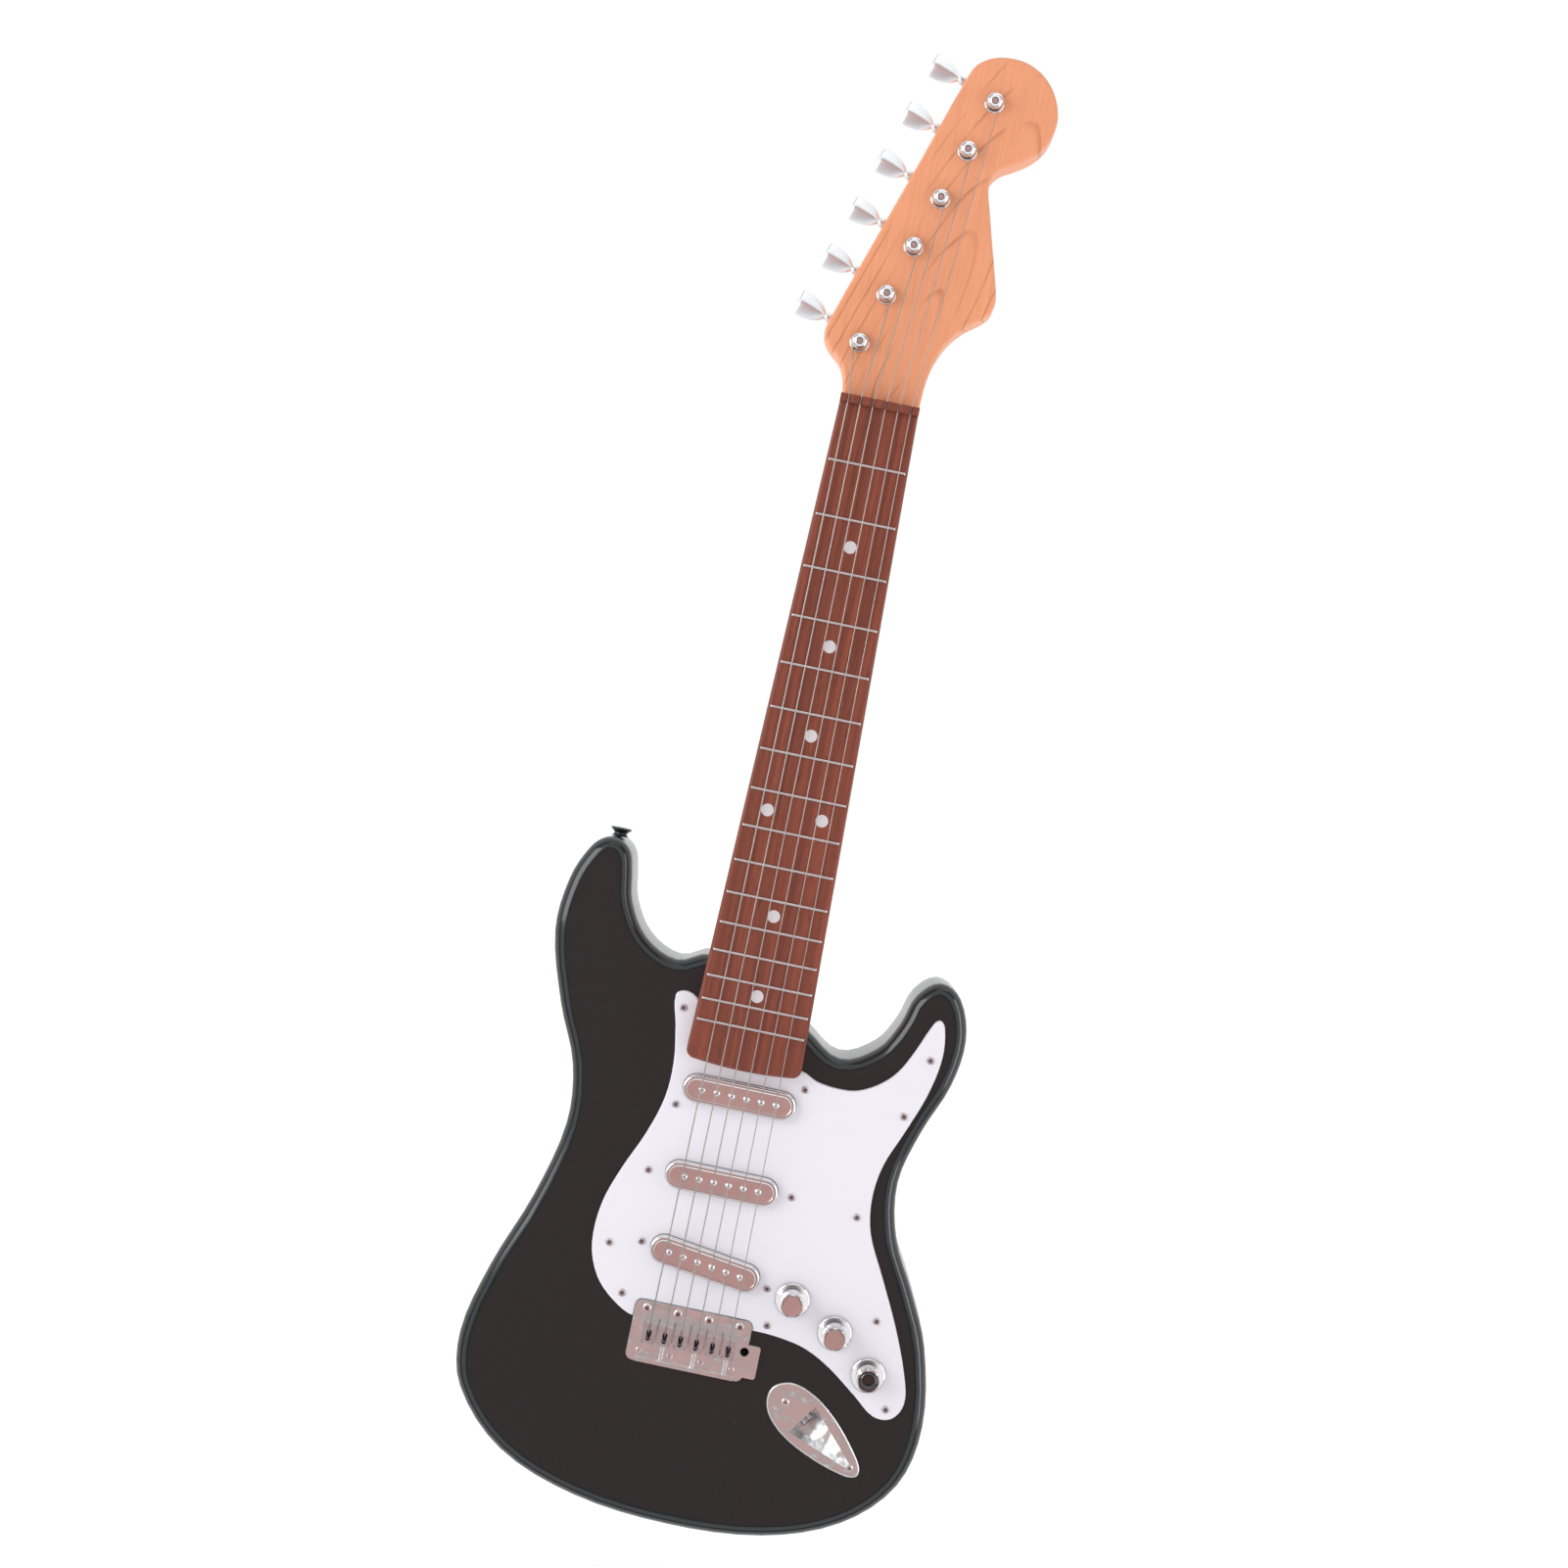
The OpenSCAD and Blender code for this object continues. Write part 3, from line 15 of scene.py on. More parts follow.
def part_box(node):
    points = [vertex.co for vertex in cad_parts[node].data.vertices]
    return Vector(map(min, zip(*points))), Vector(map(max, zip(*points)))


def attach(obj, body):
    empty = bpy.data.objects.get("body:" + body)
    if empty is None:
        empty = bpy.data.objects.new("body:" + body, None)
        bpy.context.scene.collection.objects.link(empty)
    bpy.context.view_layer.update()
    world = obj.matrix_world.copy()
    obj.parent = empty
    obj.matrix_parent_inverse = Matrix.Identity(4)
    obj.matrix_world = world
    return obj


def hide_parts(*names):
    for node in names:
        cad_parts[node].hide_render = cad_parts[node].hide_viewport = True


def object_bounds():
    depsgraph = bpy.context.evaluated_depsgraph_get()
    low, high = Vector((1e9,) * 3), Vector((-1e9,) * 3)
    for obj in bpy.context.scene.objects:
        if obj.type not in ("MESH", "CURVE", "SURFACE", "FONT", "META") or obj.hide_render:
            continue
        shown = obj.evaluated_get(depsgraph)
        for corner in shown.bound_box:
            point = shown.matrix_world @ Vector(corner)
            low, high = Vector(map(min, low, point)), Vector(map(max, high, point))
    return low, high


bl_info = {
    "name": "Toy Electric Guitar",
    "version": (1, 0, 0),
    "blender": (4, 5, 0),
    "location": "View3D > Sidebar > Guitar",
    "description": "Builds the finished surfaces of a toy electric guitar round its frame",
    "category": "Object",
}

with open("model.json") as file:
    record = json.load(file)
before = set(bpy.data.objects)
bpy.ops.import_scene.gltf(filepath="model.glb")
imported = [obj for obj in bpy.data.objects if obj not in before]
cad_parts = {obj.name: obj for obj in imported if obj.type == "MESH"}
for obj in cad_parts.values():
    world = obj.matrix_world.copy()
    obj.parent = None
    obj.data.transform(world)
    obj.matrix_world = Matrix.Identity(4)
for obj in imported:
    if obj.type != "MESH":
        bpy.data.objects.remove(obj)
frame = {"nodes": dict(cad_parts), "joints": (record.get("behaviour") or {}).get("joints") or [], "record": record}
CAD_BOX = [list(corner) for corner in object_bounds()]
NODES = frame["nodes"]
JOINTS = {joint["name"]: joint for joint in frame["joints"]}
BODY_OF = {node: body for body, members in frame["record"]["behaviour"]["bodies"].items()
           for node in members}
SLOT_OF = {part["node"]: part["material_slot"] for part in frame["record"]["subparts"]}
STRINGS = range(1, 7)
MM = 0.001
MERGE = 0.002 * MM
FRONT = Vector((0, -1, 0))
ORIGIN = Vector((0, 0, 0))
NUT_STRING_GAP = 5.5 * MM
SPOOL_RADIUS = 2.1 * MM
POST_BALL_RADIUS = 3.75 * MM
BUTTON_LENGTH = 14 * MM
WORM_ROD_RADIUS = 1.2 * MM
MIDDLE_STRING = 3.5


# Sizes and colours that a user may change

def length_property(name, description, default):
    return FloatProperty(name=name, description=description, default=default, unit="LENGTH")


def colour_property(name, description, default):
    return FloatVectorProperty(name=name, description=description, default=default, subtype="COLOR")


class GuitarSizes(bpy.types.PropertyGroup):
    """Sizes of the visible details"""
    seam_round: length_property("Seam rounding", "Rounding of the two shells where they meet", 0.35 * MM)
    head_round: length_property("Headstock rounding", "Rounding of the headstock's front edge", 1.5 * MM)
    knob_ribs: IntProperty(name="Knob ribs", description="Ribs round each knob", default=36, min=12)
    rib_width: length_property("Rib width", "Width of a knob's rib", 0.52 * MM)
    winding_turns: IntProperty(name="Winding turns", description="Turns of string round each post",
                               default=2, min=1)
    marker_proud: length_property("Marker height", "Height of the markers above the fretboard", 0.03 * MM)


class GuitarColours(bpy.types.PropertyGroup):
    """Colours of the main finishes"""
    body: colour_property("Body", "Black of the body shells", (0.0075, 0.0120, 0.0135))
    guard: colour_property("Scratch plate", "White of the scratch plate", (0.75, 0.745, 0.80))
    wood: colour_property("Neck", "Light tone of the neck's wood print", (0.78, 0.345, 0.19))
    wood_line: colour_property("Grain lines", "Dark tone of the neck's wood print", (0.36, 0.13, 0.055))
    board: colour_property("Fretboard", "Brown of the fretboard", (0.215, 0.047, 0.023))
    chrome: colour_property("Chrome", "Tone of the plated trim", (0.84, 0.83, 0.83))
    pearl: colour_property("Markers", "Pearl of the fret markers", (0.50, 0.49, 0.51))


class StageSettings(bpy.types.PropertyGroup):
    """Camera, key light and floor"""
    distance: length_property("Camera distance", "Camera's distance from the body's face", 0.8)
    lens: FloatProperty(name="Lens", description="Focal length in millimetres", default=42.0)
    lean: FloatProperty(name="Lean", description="Lean of the neck to the camera's right",
                        default=math.radians(11.7), subtype="ANGLE")
    floor_gap: length_property("Floor gap", "Gap between the tail and the floor", 25 * MM)
    key_power: FloatProperty(name="Key light", description="Power of the large soft light", default=8.0,
                             unit="POWER")


def sizes():
    return bpy.context.scene.guitar_sizes


def colours():
    return bpy.context.scene.guitar_colours


# Shader trees

class Value:
    """A socket that can be used in a sum; each operator adds its Math node."""

    def __init__(self, tree, socket):
        self.tree, self.socket = tree, socket

    def math(self, operation, *others, swap=False):
        values = [self, *others]
        if swap:
            values.reverse()
        return self.tree.node("ShaderNodeMath", {"operation": operation}, dict(enumerate(values)))

    def __add__(self, other):
        return self.math("ADD", other)

    __radd__ = __add__

    def __sub__(self, other):
        return self.math("SUBTRACT", other)

    def __rsub__(self, other):
        return self.math("SUBTRACT", other, swap=True)

    def __mul__(self, other):
        return self.math("MULTIPLY", other)

    __rmul__ = __mul__

    def __truediv__(self, other):
        return self.math("DIVIDE", other)

    def __pow__(self, other):
        return self.math("POWER", other)

    def step(self, low, high):
        """0 below low, 1 above high, smooth between."""
        return self.tree.node("ShaderNodeMapRange", {"interpolation_type": "SMOOTHSTEP"},
                              {"Value": self, "From Min": low, "From Max": high})


class Tree:
    """A node tree that is written with plain calls."""

    def __init__(self, tree):
        self.tree = tree
        self.tree.nodes.clear()

    def node(self, kind, settings=None, sockets=None, out=0):
        made = self.tree.nodes.new(kind)
        for key, value in (settings or {}).items():
            if key == "stops":
                self.set_stops(made.color_ramp, value)
            else:
                setattr(made, key, value)
        for key, value in (sockets or {}).items():
            if isinstance(value, Value):
                self.tree.links.new(value.socket, made.inputs[key])
            else:
                made.inputs[key].default_value = value
        return Value(self, made.outputs[out]) if made.outputs else None

    @staticmethod
    def set_stops(ramp, stops):
        while len(ramp.elements) < len(stops):
            ramp.elements.new(1.0)
        for element, (place, colour) in zip(ramp.elements, stops):
            element.position, element.color = place, (*colour[:3], 1)

    def coordinates(self, scale=(1, 1, 1), shift=(0, 0, 0)):
        """Object coordinates, moved and then scaled."""
        place = self.node("ShaderNodeTexCoord", out="Object")
        moved = self.node("ShaderNodeVectorMath", {"operation": "SUBTRACT"}, {0: place, 1: shift})
        return self.node("ShaderNodeVectorMath", {"operation": "MULTIPLY"}, {0: moved, 1: scale})

    def split(self, vector):
        made = self.tree.nodes.new("ShaderNodeSeparateXYZ")
        self.tree.links.new(vector.socket, made.inputs[0])
        return [Value(self, out) for out in made.outputs]

    def noise(self, vector, scale, detail=2.0, roughness=0.5):
        return self.node("ShaderNodeTexNoise", None,
                         {"Vector": vector, "Scale": scale, "Detail": detail, "Roughness": roughness})

    def cells(self, vector, scale, feature="F1"):
        return self.node("ShaderNodeTexVoronoi", {"feature": feature},
                         {"Vector": vector, "Scale": scale}, out="Distance")

    def mix(self, factor, a, b):
        return self.node("ShaderNodeMix", {"data_type": "RGBA"},
                         {"Factor": factor, 6: as_colour(a), 7: as_colour(b)}, out=2)

    def bump(self, height, distance, strength=1.0):
        return self.node("ShaderNodeBump", None,
                         {"Height": height, "Distance": distance, "Strength": strength})


def as_colour(value):
    return value if isinstance(value, Value) else (*value[:3], 1)


def surface(name, build, **fixed):
    """A material whose build(tree) gives what varies; fixed values go on the shader's own sockets."""
    if name in bpy.data.materials:
        return bpy.data.materials[name]
    made = bpy.data.materials.new(name)
    made.use_nodes = True
    tree = Tree(made.node_tree)
    sockets = {key: (*value, 1) if key.endswith("Color") else value for key, value in fixed.items()}
    for key, value in build(tree).items():
        sockets[key] = as_colour(value) if key.endswith("Color") else value
    shader = tree.node("ShaderNodeBsdfPrincipled", None, sockets)
    tree.node("ShaderNodeOutputMaterial", None, {"Surface": shader})
    return made


def gloss_black():
    def build(t):
        place = t.coordinates()
        peel = t.noise(place, 420, 1.5)
        smear = t.noise(place, 26, 4, 0.62)
        speck = 1 - t.cells(place, 190).step(0.02, 0.05)
        rare = t.noise(place, 55, 1).step(0.62, 0.70)
        dust = speck * rare
        return {"Base Color": t.mix(dust * 0.35, colours().body, (0.22, 0.21, 0.20)),
                "Roughness": 0.10 + smear * 0.10 + dust * 0.3,
                "Normal": t.bump(peel, 0.012 * MM, 0.5)}
    return surface("body_gloss_black", build, **{"Specular IOR Level": 0.62})


def guard_plastic():
    def build(t):
        place = t.coordinates()
        tint = t.noise(place, 18, 3)
        grain = t.noise(place, 900, 2)
        return {"Base Color": t.mix(tint, [c * 0.97 for c in colours().guard], colours().guard),
                "Roughness": 0.30 + tint * 0.12,
                "Normal": t.bump(grain, 0.006 * MM, 0.6)}
    return surface("guard_white_plastic", build)


def chrome(name="plated_chrome", tone=None, dull=0.0, sink=0.05):
    """Plating over moulded plastic; sink is the depth of its waves in millimetres."""
    def build(t):
        place = t.coordinates()
        waves = t.noise(place, 150, 1.5)
        smear = t.noise(place, 60, 4, 0.6)
        pits = 1 - t.cells(place, 620).step(0.02, 0.07)
        rare = t.noise(place, 160, 1).step(0.60, 0.68)
        wear = pits * rare
        plain = list(tone or colours().chrome)
        worn = smear.step(0.35, 0.8) * 0.5 + wear * 0.5
        return {"Base Color": t.mix(worn, plain, [c * 0.80 for c in plain]),
                "Roughness": 0.035 + dull + smear * 0.07 + wear * 0.25,
                "Normal": t.bump(waves + wear * 0.1, sink * MM, min(1, 0.35 + sink))}
    return surface(name, build, Metallic=1.0)


def wavy_chrome():
    return chrome("wavy_chrome", (0.93, 0.96, 0.96), 0.24, 1.1)


def screw_plating():
    return brushed("screw_plating", (0.74, 0.74, 0.76), (500, 500, 500), 0.30)


def wood_print():
    """Peach wood print: cathedral arches that fade into straight grain, over fine fibres."""
    def build(t):
        x, _, z = t.split(t.coordinates())
        drift = t.noise(t.coordinates((9, 9, 2.2)), 1.0, 2)
        wobble = t.noise(t.coordinates((60, 60, 16)), 1.0, 3)
        rise = z.math("MAXIMUM", 0.0) - 0.030
        across = x - 0.005 - rise * 0.29 + (drift - 0.5) * 0.03
        along = rise * 0.22
        reach = (across * across + along * along) ** 0.5 + (wobble - 0.5) * 0.0028
        phase = (reach / 0.0058).math("FRACT")
        line = 1 - phase.step(0.0, 0.09) + phase.step(0.88, 1.0) * 0.6
        breaks = t.noise(t.coordinates((70, 70, 9), (0.013, 0, 0)), 1.0, 3).step(0.36, 0.62)
        fibre = t.noise(t.coordinates((1300, 1300, 42)), 1.0, 3, 0.65)
        cloud = t.noise(t.coordinates((24, 24, 6)), 1.0, 3)
        pore = t.noise(t.coordinates((2600, 2600, 90)), 1.0, 1).step(0.64, 0.74)
        light = list(colours().wood)
        dark = list(colours().wood_line)
        tone = t.mix(cloud, [light[0] * 0.90, light[1] * 0.82, light[2] * 0.74], [c * 1.08 for c in light])
        tone = t.mix(fibre.step(0.30, 0.85) * 0.22, tone, dark)
        tone = t.mix(line * breaks * 0.85, tone, dark)
        tone = t.mix(pore * 0.20, tone, dark)
        return {"Base Color": tone,
                "Roughness": 0.34 + fibre * 0.14,
                "Normal": t.bump(fibre - line * 0.4, 0.012 * MM, 0.6)}
    return surface("neck_wood_print", build)


def board_plastic():
    """Brown moulded plastic with long fine streaks and short pores."""
    def build(t):
        streak = t.noise(t.coordinates((420, 420, 9)), 1.0, 4, 0.6)
        pore = t.noise(t.coordinates((1900, 1900, 130)), 1.0, 1.5).step(0.60, 0.72)
        cloud = t.noise(t.coordinates((40, 40, 14)), 1.0, 3)
        plain = list(colours().board)
        tone = t.mix(streak.step(0.25, 0.8), [c * 0.66 for c in plain], [c * 1.28 for c in plain])
        tone = t.mix(cloud.step(0.3, 0.8) * 0.3, tone, [c * 0.75 for c in plain])
        tone = t.mix(pore * 0.6, tone, [c * 0.35 for c in plain])
        return {"Base Color": tone,
                "Roughness": 0.42 + streak * 0.16,
                "Normal": t.bump(streak * 0.6 - pore * 0.8, 0.02 * MM, 0.7)}
    return surface("fretboard_brown_plastic", build)


def pearl_plastic():
    def build(t):
        place = t.coordinates()
        sheen = t.cells(place, 700, "SMOOTH_F1")
        cloud = t.noise(place, 350, 2)
        plain = list(colours().pearl)
        dark, light = [c * 0.84 for c in plain], [min(1, c * 1.3) for c in plain]
        return {"Base Color": t.mix(sheen * 0.8 + cloud * 0.3, dark, light),
                "Roughness": 0.22 + cloud * 0.14,
                "Normal": t.bump(sheen, 0.01 * MM, 0.4)}
    return surface("marker_pearl", build, **{"Coat Weight": 0.4})


def brushed(name, tone, along=(900, 900, 60), rough=0.22):
    """Bare metal with drawing marks along one axis."""
    def build(t):
        marks = t.noise(t.coordinates(along), 1.0, 3, 0.6)
        stain = t.noise(t.coordinates(), 240, 3)
        return {"Base Color": t.mix(stain.step(0.4, 0.9) * 0.5, tone, [c * 0.62 for c in tone]),
                "Roughness": rough + marks * 0.16,
                "Normal": t.bump(marks, 0.006 * MM, 0.6)}
    return surface(name, build, Metallic=1.0)


def wound_steel():
    """String steel with the fine turns of its wrap wire."""
    def build(t):
        z = t.split(t.coordinates())[2]
        wrap = (z * 9000).math("SINE")
        stain = t.noise(t.coordinates((300, 300, 30)), 1.0, 3)
        return {"Base Color": t.mix(stain, (0.33, 0.31, 0.29), (0.56, 0.54, 0.51)),
                "Roughness": 0.24 + stain * 0.12,
                "Normal": t.bump(wrap, 0.02 * MM, 0.5)}
    return surface("string_steel_wire", build, Metallic=1.0)


def moulded(name, tone, rough=0.45, grain_scale=900, gloss=0.0):
    """Plain moulded plastic with a fine tooled grain."""
    def build(t):
        place = t.coordinates()
        grain = t.noise(place, grain_scale, 2)
        cloud = t.noise(place, 45, 3)
        return {"Base Color": t.mix(cloud, [c * 0.85 for c in tone], [min(1, c * 1.15) for c in tone]),
                "Roughness": rough + grain * 0.10,
                "Normal": t.bump(grain, 0.01 * MM, 0.6)}
    return surface(name, build, **{"Coat Weight": gloss})


def board_mask():
    """Circuit board: solder mask over a grid of raised tracks."""
    def build(t):
        x, _, z = t.split(t.coordinates())
        row = (z * 420).math("SINE").step(0.80, 0.9)
        column = (x * 310 + (z * 60).math("SINE")).math("SINE").step(0.84, 0.93)
        track = row.math("MAXIMUM", column)
        pad = 1 - t.cells(t.coordinates(), 260).step(0.10, 0.14)
        tone = t.mix(track * 0.7, (0.010, 0.085, 0.030), (0.030, 0.22, 0.075))
        return {"Base Color": t.mix(pad, tone, (0.70, 0.68, 0.62)),
                "Metallic": pad,
                "Roughness": 0.30 + track * 0.1,
                "Normal": t.bump(track + pad, 0.03 * MM, 0.8)}
    return surface("circuit_board_mask", build)


def cell_wrap():
    """Dry cell: a printed sleeve with a plain band at each end."""
    def build(t):
        z = t.split(t.coordinates())[2]
        middle = sum(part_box("battery_cells")[i][2] for i in (0, 1)) / 2
        band = (z - middle).math("ABSOLUTE").step(11.5 * MM, 11.8 * MM)
        scuff = t.noise(t.coordinates(), 190, 3)
        return {"Base Color": t.mix(band, (0.03, 0.03, 0.035), (0.55, 0.30, 0.05)),
                "Metallic": band * 0.8,
                "Roughness": 0.26 + scuff * 0.18,
                "Normal": t.bump(scuff, 0.01 * MM, 0.5)}
    return surface("cell_sleeve", build)


def finish_for(slot):
    """The material that a slot of the record stands for."""
    plain = {
        "body_black": gloss_black, "guard_white": guard_plastic, "chrome_trim": chrome,
        "neck_wood_tone": wood_print, "fretboard_brown": board_plastic, "marker_pearl": pearl_plastic,
        "string_steel": wound_steel, "board_green": board_mask, "cell_wrap": cell_wrap,
    }
    if slot in plain:
        return plain[slot]()
    if slot == "fret_metal":
        return brushed("fret_wire", (0.80, 0.80, 0.80), (60, 900, 900), 0.14)
    if slot == "screw_steel":
        return brushed("zinc_steel", (0.60, 0.60, 0.61), (700, 90, 700))
    tones = {
        "button_black": ((0.006, 0.006, 0.006), 0.06, 1.0), "switch_black": ((0.02, 0.02, 0.02), 0.45, 0.0),
        "switch_red": ((0.42, 0.014, 0.014), 0.38, 0.0), "speaker_black": ((0.022, 0.022, 0.023), 0.62, 0.0),
        "wire_red": ((0.45, 0.02, 0.02), 0.35, 0.0),
    }
    tone, rough, gloss = tones[slot]
    return moulded(slot + "_plastic", tone, rough, gloss=gloss)


# Mesh tools

def new_object(name, mesh):
    made = bpy.data.objects.new(name, mesh)
    bpy.context.scene.collection.objects.link(made)
    return made


def mesh_from(bm, name):
    mesh = bpy.data.meshes.new(name)
    bm.to_mesh(mesh)
    bm.free()
    return mesh


def flattened(piece):
    """The piece as a plain mesh, its modifiers worked in and taken off."""
    graph = bpy.context.evaluated_depsgraph_get()
    mesh = bpy.data.meshes.new_from_object(piece.evaluated_get(graph), depsgraph=graph)
    piece.modifiers.clear()
    piece.data = mesh
    return piece


def settle(piece, node, material=None, replaces=(), sharp=35.0):
    """Shades a piece, gives it its finish, and makes it ride the body of its CAD node."""
    piece.data.materials.clear()
    piece.data.materials.append(material or finish_for(SLOT_OF[node]))
    if sharp:
        piece.data.shade_smooth()
        piece.data.set_sharp_from_angle(angle=math.radians(sharp))
        weigh = piece.modifiers.new("weigh", "WEIGHTED_NORMAL")
        weigh.keep_sharp = True
        flattened(piece)
    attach(piece, BODY_OF[node])
    if replaces:
        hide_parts(*replaces)
    return piece


def merged(node):
    """A copy of a CAD node's triangles, joined up and with its flat faces made whole."""
    bm = bmesh.new()
    bm.from_mesh(NODES[node].data)
    bmesh.ops.remove_doubles(bm, verts=bm.verts, dist=MERGE)
    bmesh.ops.dissolve_degenerate(bm, edges=bm.edges, dist=MERGE)
    bmesh.ops.dissolve_limit(bm, angle_limit=math.radians(0.4), verts=bm.verts, edges=bm.edges)
    return bm


def face_loop(bm, depth):
    """The longest ring of sharp edges in the plane Y = depth: an outline, without the holes inside it."""
    found = [e for e in bm.edges if all(abs(v.co.y - depth) < 0.02 * MM for v in e.verts)
             and len(e.link_faces) == 2 and e.calc_face_angle(0) > math.radians(50)]
    left, rings = set(found), []
    while left:
        ring, todo = [], [left.pop()]
        while todo:
            edge = todo.pop()
            ring.append(edge)
            near = [e for v in edge.verts for e in v.link_edges if e in left]
            left.difference_update(near)
            todo += near
        rings.append(ring)
    return max(rings, key=lambda ring: sum(e.calc_length() for e in ring))


def polished(name, node, rounding, outlines=(), segments=2, limit=35.0, material=None):
    """A CAD node's shape with its edges eased; outlines are (depth, radius) rings rounded on their own."""
    bm = merged(node)
    for depth, radius in outlines:
        bmesh.ops.bevel(bm, geom=face_loop(bm, depth), offset=radius, segments=5, profile=0.5,
                        affect="EDGES")
    piece = new_object(name, mesh_from(bm, name))
    if rounding:
        ease = piece.modifiers.new("ease", "BEVEL")
        ease.width, ease.segments = rounding, segments
        ease.limit_method, ease.angle_limit = "ANGLE", math.radians(limit)
    weigh = piece.modifiers.new("weigh", "WEIGHTED_NORMAL")
    weigh.keep_sharp = True
    piece.data.shade_smooth()
    flattened(piece)
    return settle(piece, node, material, [node], None)


def islands(node):
    """The centre and box of each separate solid of a CAD node, along X and then Z."""
    bm = bmesh.new()
    bm.from_mesh(NODES[node].data)
    bmesh.ops.remove_doubles(bm, verts=bm.verts, dist=MERGE)
    left, found = set(bm.verts), []
    while left:
        group, todo = [], [left.pop()]
        while todo:
            vert = todo.pop()
            group.append(vert.co.copy())
            near = {v for e in vert.link_edges for v in e.verts if v in left}
            left -= near
            todo += near
        low = Vector([min(c[i] for c in group) for i in range(3)])
        high = Vector([max(c[i] for c in group) for i in range(3)])
        found.append(((low + high) / 2, low, high))
    bm.free()
    return sorted(found, key=lambda item: (item[0].x, item[0].z))


def loft(name, rings, closed=False, caps=True):
    """A skin through rings of points; each end is capped, or the last ring joins the first."""
    bm = bmesh.new()
    rows = [[bm.verts.new(point) for point in ring] for ring in rings]
    pairs = list(zip(rows, rows[1:]))
    if closed:
        pairs.append((rows[-1], rows[0]))
    for a, b in pairs:
        for i in range(len(a)):
            j = (i + 1) % len(a)
            bm.faces.new((a[i], a[j], b[j], b[i]))
    if caps and not closed:
        bm.faces.new(rows[0][::-1])
        bm.faces.new(rows[-1])
    bmesh.ops.recalc_face_normals(bm, faces=bm.faces)
    return new_object(name, mesh_from(bm, name))


def turned(name, centre, profile, sides=72, closed=False):
    """A shape turned about Y: profile is a list of (radius, depth), with depth as the point's Y."""
    rings = [[Vector((centre[0] + max(r, 0.001 * MM) * math.cos(2 * math.pi * i / sides), y,
                      centre[2] + max(r, 0.001 * MM) * math.sin(2 * math.pi * i / sides)))
              for i in range(sides)] for r, y in profile]
    return loft(name, rings, closed)


def racetrack(centre, length, width, lean, depth, arc=16):
    """An oblong with round ends in the plane Y = depth, its long side turned by lean about Y."""
    half, radius = (length - width) / 2, width / 2
    turn = Matrix.Rotation(lean, 3, "Y")
    points = []
    for end, first in ((half, math.pi / 2), (-half, -math.pi / 2)):
        for i in range(arc + 1):
            angle = first - math.pi * i / arc
            spot = turn @ Vector((end + radius * math.cos(angle), 0, radius * math.sin(angle)))
            points.append(Vector((centre.x + spot.x, depth, centre.z + spot.z)))
    return points


# Geometry Nodes

def grown(piece, given, build):
    """Runs a node tree on a piece and leaves one plain mesh.

    given maps each input's name to its kind and value.
    """
    group = bpy.data.node_groups.new(piece.name + "_tree", "GeometryNodeTree")
    group.interface.new_socket("Geometry", in_out="INPUT", socket_type="NodeSocketGeometry")
    keys = {name: group.interface.new_socket(name, in_out="INPUT", socket_type=kind).identifier
            for name, (kind, value) in given.items()}
    group.interface.new_socket("Geometry", in_out="OUTPUT", socket_type="NodeSocketGeometry")
    t = Tree(group)
    entry = group.nodes.new("NodeGroupInput")
    entries = {name: Value(t, entry.outputs[name]) for name in ("Geometry", *given)}
    real = t.node("GeometryNodeRealizeInstances", None, {0: build(t, entries)})
    done = t.node("GeometryNodeSetMaterial", None, {"Geometry": real, "Material": entries["Finish"]})
    t.node("NodeGroupOutput", None, {0: done})
    modifier = piece.modifiers.new("grow", "NODES")
    modifier.node_group = group
    for name, (kind, value) in given.items():
        modifier[keys[name]] = value
    return flattened(piece)


def scatter(name, unit, places, turns=None, scales=None, material=None):
    """Copies of the unit object at each place, turned and scaled, as one plain mesh."""
    mesh = bpy.data.meshes.new(name)
    mesh.from_pydata([tuple(p) for p in places], [], [])
    layers = {"turn": turns or [(0, 0, 0)] * len(places), "size": scales or [(1, 1, 1)] * len(places)}
    for key, values in layers.items():
        layer = mesh.attributes.new(key, "FLOAT_VECTOR", "POINT")
        layer.data.foreach_set("vector", [c for value in values for c in value])

    def build(t, entries):
        shape = t.node("GeometryNodeObjectInfo", {"transform_space": "ORIGINAL"},
                       {"Object": entries["Unit"]}, out="Geometry")
        turn, size = [t.node("GeometryNodeInputNamedAttribute", {"data_type": "FLOAT_VECTOR"}, {"Name": key})
                      for key in ("turn", "size")]
        rotation = t.node("FunctionNodeEulerToRotation", None, {0: turn})
        return t.node("GeometryNodeInstanceOnPoints", None,
                      {"Points": entries["Geometry"], "Instance": shape, "Rotation": rotation,
                       "Scale": size})

    piece = grown(new_object(name, mesh), {"Unit": ("NodeSocketObject", unit),
                                           "Finish": ("NodeSocketMaterial", material)}, build)
    bpy.data.objects.remove(unit)
    return piece


def swept(name, path, radius, material, sides=12):
    """A round wire along a path, as a plain mesh."""
    mesh = bpy.data.meshes.new(name)
    mesh.from_pydata([tuple(p) for p in path], [(i, i + 1) for i in range(len(path) - 1)], [])

    def build(t, entries):
        curve = t.node("GeometryNodeMeshToCurve", None, {"Mesh": entries["Geometry"]})
        ring = t.node("GeometryNodeCurvePrimitiveCircle", None,
                      {"Resolution": sides, "Radius": entries["Radius"]})
        return t.node("GeometryNodeCurveToMesh", None,
                      {"Curve": curve, "Profile Curve": ring, "Fill Caps": True})

    return grown(new_object(name, mesh), {"Radius": ("NodeSocketFloat", radius),
                                          "Finish": ("NodeSocketMaterial", material)}, build)


def angles(step, first=0):
    """Angles in radians, step degrees apart, from first up to a right angle."""
    return [math.radians(angle) for angle in range(first, 91, step)]


# Measures taken from the frame

